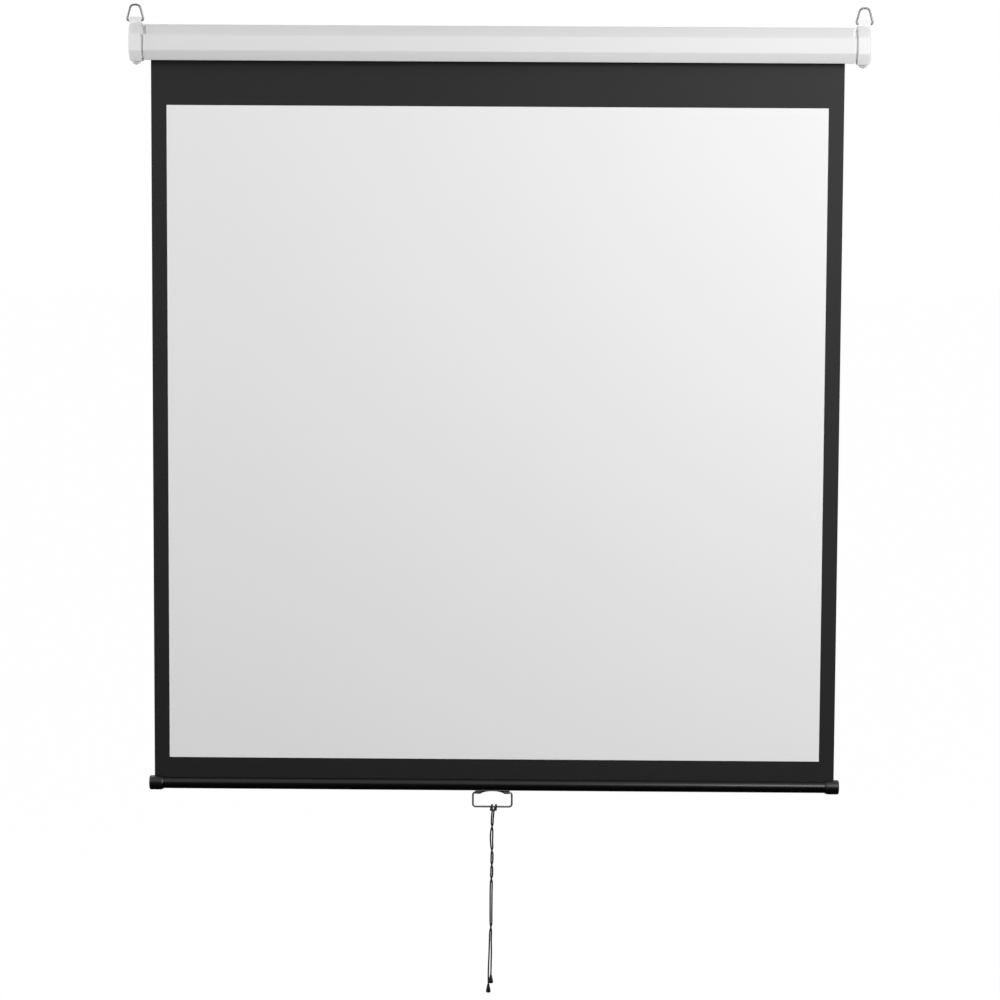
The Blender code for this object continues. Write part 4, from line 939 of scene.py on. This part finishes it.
class ScreenSheet(bpy.types.Operator):
    """Hang the coated cloth with its printed border, with its turns on the roller and its hem"""
    bl_idname = "screen.sheet"
    bl_label = "Sheet"

    def execute(self, context):
        settings = context.scene.screen_sheet
        white = coated_cloth("Matt white PVC cloth", settings.white, 0.86, 0.22)
        ink = coated_cloth("Screen-printed black", settings.ink, 0.58, 0.30)
        backing = coated_cloth("Black-out PVC backing", settings.backing, 0.66, 0.35)

        low, high = SHEET_LOW.z, SHEET_TOP
        front = HANDLE_PIVOT.y - SHEET_THICKNESS / 2
        bpy.ops.mesh.primitive_grid_add(x_subdivisions=64, y_subdivisions=72, size=1, location=(0, 0, 0))
        sheet = context.object
        for corner in sheet.data.vertices:
            x, y, _ = corner.co
            corner.co = (SHEET_MIDDLE + x * SHEET_WIDTH, front, low + (y + 0.5) * (high - low))
        edit(sheet)
        # Cut where the print's edges run
        picture_foot = PICTURE_TOP - PICTURE
        cuts = [(x, 0, 0) for x in (SHEET_MIDDLE - PICTURE / 2, SHEET_MIDDLE + PICTURE / 2)]
        cuts += [(0, 0, z) for z in (PICTURE_TOP, picture_foot, PRINT_TOP)]
        for place in cuts:
            bpy.ops.mesh.select_all(action="SELECT")
            bpy.ops.mesh.bisect(plane_co=place, plane_no=(1, 0, 0) if place[0] else (0, 0, 1))
        leave()
        for face in sheet.data.polygons:
            x, _, z = face.center
            inside = abs(x - SHEET_MIDDLE) < PICTURE / 2 and picture_foot < z < PICTURE_TOP
            face.material_index = 0 if inside or z > PRINT_TOP else 1
        # The cloth is held flat at the slot and at the bar, and curls a little towards its free sides
        for corner in sheet.data.vertices:
            x, _, z = corner.co
            down = (high - z) / (high - low)
            free = math.sin(math.pi * min(max((down - 0.03) / 0.95, 0), 1)) ** 0.8
            edge = (x - SHEET_MIDDLE) / (SHEET_WIDTH / 2)
            curl = 0.9 * edge**6 - 0.35 * math.cos(2.4 * math.pi * edge + 0.6) * math.sin(math.pi * down)
            corner.co.y -= settings.wave * free * curl
        for finish in (white, ink, backing, backing):
            sheet.data.materials.append(finish)
        modify(sheet, "SOLIDIFY", thickness=SHEET_THICKNESS, offset=-1, material_offset=2,
               material_offset_rim=2)
        hand_over(sheet, "projection_cloth", "case", ["screen_sheet", "black_border"], "white_vinyl")

        # The turns that stay on the roller, wound inwards from where the sheet leaves it
        turns, steps_a_turn, pitch = 2.25, 48, 0.0007
        bpy.ops.mesh.primitive_grid_add(x_subdivisions=4, y_subdivisions=int(turns * steps_a_turn), size=1,
                                        location=(0, 0, 0))
        roll = context.object
        for corner in roll.data.vertices:
            x, y, _ = corner.co
            angle = math.tau * turns * (y + 0.5)
            radius = HANDLE_PIVOT.y - ROLLER.y - pitch * angle / math.tau
            corner.co = (SHEET_MIDDLE + x * SHEET_WIDTH, ROLLER.y + radius * math.cos(angle),
                         ROLLER.z + radius * math.sin(angle))
        for finish in (white, backing):
            roll.data.materials.append(finish)
        modify(roll, "SOLIDIFY", thickness=SHEET_THICKNESS, offset=0, material_offset=1,
               material_offset_rim=1)
        hand_over(roll, "cloth_turns", "roller", ["sheet_turns_on_roller"], "white_vinyl")

        hem_low, hem_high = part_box("sheet_hem")
        outer, run = (hem_high.y - hem_low.y) / 2, hem_high.x - hem_low.x
        inner = outer - 0.0005
        centre = Vector((hem_low.x, HANDLE_PIVOT.y, (hem_low.z + hem_high.z) / 2))
        sleeve = turned([(inner, 0), (outer, 0), (outer, run), (inner, run)], 40, centre, (1, 0, 0))
        hand_over(sleeve, "welded_hem", "bar", ["sheet_hem"], "white_vinyl", backing)

        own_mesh(sheet)
        return {"FINISHED"}


class ScreenRoller(bpy.types.Operator):
    """Give the roller, its spring, the ratchet and the idler their finishes"""
    bl_idname = "screen.roller"
    bl_label = "Roller"

    def execute(self, context):
        along, across, even = (0.04, 1, 1), (1, 0.04, 0.04), (1, 1, 1)
        for finish, names in (
            (worked_steel("Bright rolled steel", "A3A6A8", "C2C4C6", 0.28, along), ["roller_tube"]),
            (worked_steel("Drawn steel rod", "8F9193", "B5B7B9", 0.30, along),
             ["spring_shaft", "idler_pin", "hem_rod"]),
            (worked_steel("Stamped steel", "8A8C8E", "B0B2B3", 0.34, across),
             ["ratchet_disc", "upper_pawl", "lower_pawl"]),
            (worked_steel("Oil-tempered spring wire", "3A3B3E", "5A5B5E", 0.36, even), ["torsion_spring"]),
            (natural_nylon(), ["spring_head", "spring_anchor", "idler_plug", "idler_bush"]),
        ):
            for name in names:
                frame["nodes"][name].material_slots[0].material = finish
        return {"FINISHED"}


class ScreenWeightBar(bpy.types.Operator):
    """Roll the slotted weight bar and push a cap over each of its ends"""
    bl_idname = "screen.weight_bar"
    bl_label = "Weight bar"

    def execute(self, context):
        settings = context.scene.screen_bar
        slot, wall = 0.0032, 0.0012
        bpy.ops.mesh.primitive_cylinder_add(vertices=90, radius=BAR_RADIUS, depth=BAR_HIGH.x - BAR_LOW.x,
                                            end_fill_type="NOTHING", location=BAR_AXIS,
                                            rotation=(0, math.pi / 2, 0))
        bar = context.object
        bpy.ops.object.transform_apply(location=True, rotation=True, scale=True)

        def off_top(face):
            centre = face.calc_center_median()
            return abs(math.atan2(centre.y - BAR_AXIS.y, centre.z - BAR_AXIS.z))

        edit(bar)
        choose(bar, "FACE", lambda face: off_top(face) < math.asin(slot / 2 / BAR_RADIUS))
        bpy.ops.mesh.delete(type="FACE")
        leave()
        for corner in bar.data.vertices:
            off = corner.co.y - BAR_AXIS.y
            if corner.co.z > BAR_AXIS.z and abs(off) < slot * 0.8:
                corner.co.y = BAR_AXIS.y + math.copysign(slot / 2, off)
        modify(bar, "SOLIDIFY", thickness=wall, offset=-1, use_even_offset=True)
        soften(bar, 0.00025, 3, 60)
        hand_over(bar, "weight_bar_tube", "bar", ["weight_bar"], "black_paint", black_enamel())

        wide = (BAR_CAP_HIGH.y - BAR_CAP_LOW.y) / 2 - FIT
        bore, long, taper, floor, chamfer, lip = BAR_RADIUS + FIT, 0.028, 0.0046, 0.004, 0.0006, 0.0009
        rounding = settings.cap_rounding
        rim = [(wide - rounding + rounding * math.sin(a), rounding - rounding * math.cos(a))
               for a in np.linspace(0, math.pi / 2, 9)]
        profile = [(0, 0), *rim, (wide, long - chamfer), (wide - chamfer, long), (bore + lip, long + taper),
                   (bore, long + taper), (bore, floor), (0, floor)]
        cap = turned(profile, 72, (BAR_CAP_LOW.x, BAR_AXIS.y, BAR_AXIS.z), (1, 0, 0))
        # The sheet's edge runs into a slit in the cap
        slit = rectangle(BAR_AXIS.y - slot / 2, BAR_AXIS.y + slot / 2, BAR_AXIS.z, BAR_AXIS.z + 2 * wide)
        carve(cap, prism(slit, "X", SHEET_LOW.x - 0.0012, SHEET_LOW.x + 0.1))
        for name, each in both_sides(cap, BAR_AXIS.x):
            hand_over(each, f"{name}_moulded_bar_cap", "bar", [f"{name}_bar_cap"], "black_moulding",
                      black_abs())
        return {"FINISHED"}


class ScreenHandle(bpy.types.Operator):
    """Form the riveted bracket under the bar and bend the handle into its knuckles"""
    bl_idname = "screen.handle"
    bl_label = "Handle"

    def execute(self, context):
        wall, spread, knuckle, half_angle = 0.0012, 0.0660, 0.013, 34
        web_half, web_run, web_foot = 0.0026, 0.022, 0.0022
        inner = BAR_RADIUS + FIT
        section = arc(inner + wall, -90 - half_angle, -90 + half_angle, 20)
        section += arc(inner, -90 + half_angle, -90 - half_angle, 20)
        centre = BAR_AXIS.x + HANDLE_SHIFT
        left_end, right_end = centre - (spread + knuckle) / 2, centre + (spread + knuckle) / 2
        bracket = prism(set_at(BAR_AXIS.yz, section), "X", left_end, right_end)
        # The strip runs down into each rolled knuckle in a long hollow curve
        start, foot, top = left_end + knuckle, HANDLE_PIVOT.z - web_foot, BAR_AXIS.z - inner - wall / 2
        curve = [(start + web_run * (1 - t), top - wall / 2 - (top - wall / 2 - foot) * t**2.2)
                 for t in np.linspace(0, 1, 10)]
        web = prism([(left_end, top), (left_end, foot), *curve[::-1], (curve[0][0], top)], "Y",
                    BAR_AXIS.y - web_half, BAR_AXIS.y + web_half)
        bore = HANDLE_WIRE / 2 + FIT
        roll = prism(circle(bore + wall, 40, HANDLE_PIVOT.yz), "X", left_end, start)
        for each in (web, roll):
            weld(bracket, mirrored(each, centre), each)
        # The handle's bores go through the knuckles, and the rivets' holes through the strip
        beyond, shank, head_top = 0.006, 0.0015, -0.0015
        spot = Vector((centre - 0.015, BAR_AXIS.y, BAR_AXIS.z - inner))
        hole = prism(circle(bore, 40, HANDLE_PIVOT.yz), "X", left_end - beyond, start + beyond)
        punched = turned([(0, wall), (shank + FIT, wall), (shank + FIT, -2 * wall), (0, -2 * wall)], 24,
                         spot)
        for each in (hole, punched):
            carve(bracket, mirrored(each, centre), each)
        soften(bracket, SHEARED_EDGE, 2, 60)
        hand_over(bracket, "rolled_bracket", "bar", ["handle_bracket"], "zinc_plate", zinc_plate())

        head = rounded_end(0.0028, 0.0013, head_top, 1.5, 8)
        rivet = turned([(0, 0), (shank, 0), (shank, head_top), *head, (0, head[-1][1])], 32, spot)
        for name, each in both_sides(rivet, centre):
            hand_over(each, f"{name}_domed_rivet", "bar", [f"bracket_rivet_{name}"], "steel",
                      screw_steel())

        half, drop, toe = 0.0450, HANDLE_PIVOT.z - GRIP.z, spread / 2 - knuckle / 2 + FIT
        corners = [(-toe, 0, 0), (-half, 0, 0), (-half, 0, -drop), (half, 0, -drop), (half, 0, 0),
                   (toe, 0, 0)]
        hinge = Vector((centre, *HANDLE_PIVOT.yz))
        path = [point + hinge for point in rounded_path(corners, 0.0065, 12)]
        bail = soften(wire(path, HANDLE_WIRE, 7), WIRE_END, 2, 60)
        hand_over(bail, "wire_handle", "bail", ["handle"], "zinc_plate", zinc_plate())
        return {"FINISHED"}


class ScreenPullCord(bpy.types.Operator):
    """Loop the doubled cord over the handle and end both its strands in a bell"""
    bl_idname = "screen.pull_cord"
    bl_label = "Pull cord"

    def execute(self, context):
        thick = context.scene.screen_cord.diameter
        over = (HANDLE_WIRE + thick) / 2 + FIT * 1.5
        # The right half of the hitch: up from the strands, behind the wire and over it, down in front,
        # and back round behind the strands
        half = [
            (0.58 * thick, -0.15 * thick, -HITCH_DROP), (0.58 * thick, -0.45 * thick, -HITCH_DROP * 0.73),
            (0.58 * thick, -0.70 * thick, -over - 1.15 * thick),
            (0.66 * thick, -0.45 * thick, -over - 0.4 * thick),
            (0.78 * thick, 0.24 * over, -0.99 * over), (0.90 * thick, 0.82 * over, -0.60 * over),
            (1.00 * thick, over, 0.05 * over), (1.15 * thick, 0.70 * over, 0.75 * over),
            (1.30 * thick, 0, over), (1.47 * thick, -0.72 * over, 0.70 * over),
            (1.58 * thick, -over, -0.10 * over), (1.70 * thick, -0.82 * over, -0.95 * over),
            (1.76 * thick, -0.20 * over, -1.75 * over), (0.93 * thick, 0.53 * over, -1.97 * over),
            (0, 0.68 * over, -1.97 * over),
        ]
        hitch = [(-x, y, z) for x, y, z in half] + half[-2::-1]
        hitch = [(x + HITCH_LEAN * z, y, z) for x, y, z in hitch]
        sunk, neck, hole = 0.004, 0.0023, thick / 2 + 0.0001
        for name, start, side, end, bell_long in (
            ("short", hitch[:1], -1, SHORT_END, 0.0200), ("long", hitch, 1, LONG_END, 0.0210),
        ):
            strand = [(centre + side * apart / 2, side * behind, down)
                      for down, centre, apart, behind in TWIST]
            below = [(x, behind * thick, -down) for x, behind, down in strand + end]
            tip = Vector(below[-1])
            route = [*start, *below, tip - Vector((0, 0, sunk))]
            path = [GRIP + Vector(point) for point in smooth_path(route, 6)]
            run = sum((b - a).length for a, b in zip(path, path[1:]))
            tube = wire(path, thick, 5)

            foot = rounded_end(0.0055, 0.003, 0.003 - bell_long, math.pi / 2 - 0.08, 9)
            waist = [(0.0026, -0.0003), (0.0028, -0.12 * bell_long), (0.0034, -0.24 * bell_long),
                     (0.0044, -0.45 * bell_long), (0.0050, -0.60 * bell_long),
                     (0.0054, -0.74 * bell_long)]
            profile = [(0, -sunk - OVERLAP), (hole, -sunk - OVERLAP), (hole, -0.0002), (hole + 0.0002, 0),
                       (neck, 0), *waist, *foot, (0, -bell_long)]
            bell = turned(profile, 48, GRIP + tip - Vector((0, 0, FIT)))
            replaced = [f"cord_strand_{name}"] + (["cord_hitch"] if name == "long" else [])
            hand_over(tube, f"braided_cord_{name}", "cord", replaced, "black_cord",
                      braided_cord(f"Braided polyester, {name} strand", run))
            hand_over(bell, f"{name}_cord_end", "cord", [f"cord_bell_{name}"], "black_moulding",
                      black_abs())
        return {"FINISHED"}


class ScreenPanel(bpy.types.Panel):
    bl_idname = "VIEW3D_PT_projector_screen"
    bl_label = "Projector screen"
    bl_space_type = "VIEW_3D"
    bl_region_type = "UI"
    bl_category = "Screen"

    def draw(self, context):
        scene = context.scene
        for title, settings, operators in (
            ("Case", scene.screen_housing, (ScreenCase, ScreenEndCaps, ScreenHangers)),
            ("Sheet", scene.screen_sheet, (ScreenSheet, ScreenRoller)),
            ("Bar", scene.screen_bar, (ScreenWeightBar, ScreenHandle)),
            ("Cord", scene.screen_cord, (ScreenPullCord,)),
            ("Stage", scene.screen_stage, (ScreenStage,)),
        ):
            box = self.layout.box()
            box.label(text=title)
            for name in settings.__annotations__:
                box.prop(settings, name)
            for operator in operators:
                box.operator(operator.bl_idname)


SETTINGS = {
    "screen_housing": HousingSettings, "screen_sheet": SheetSettings, "screen_bar": BarSettings,
    "screen_cord": CordSettings, "screen_stage": StageSettings,
}
OPERATORS = (ScreenStage, ScreenPullCord, ScreenCase, ScreenEndCaps, ScreenHangers, ScreenWeightBar,
             ScreenHandle, ScreenSheet, ScreenRoller)


def register():
    for group in (*SETTINGS.values(), *OPERATORS, ScreenPanel):
        bpy.utils.register_class(group)
    for name, group in SETTINGS.items():
        setattr(bpy.types.Scene, name, PointerProperty(type=group))


def unregister():
    for name in SETTINGS:
        delattr(bpy.types.Scene, name)
    for group in (ScreenPanel, *OPERATORS[::-1], *SETTINGS.values()):
        bpy.utils.unregister_class(group)


def main():
    for thing in list(bpy.data.objects):
        if thing.name in ("Cube", "Light", "Camera"):
            bpy.data.objects.remove(thing)
    register()
    for operator in OPERATORS:
        group, name = operator.bl_idname.split(".")
        getattr(getattr(bpy.ops, group), name)()


if __name__ == "__main__":
    main()
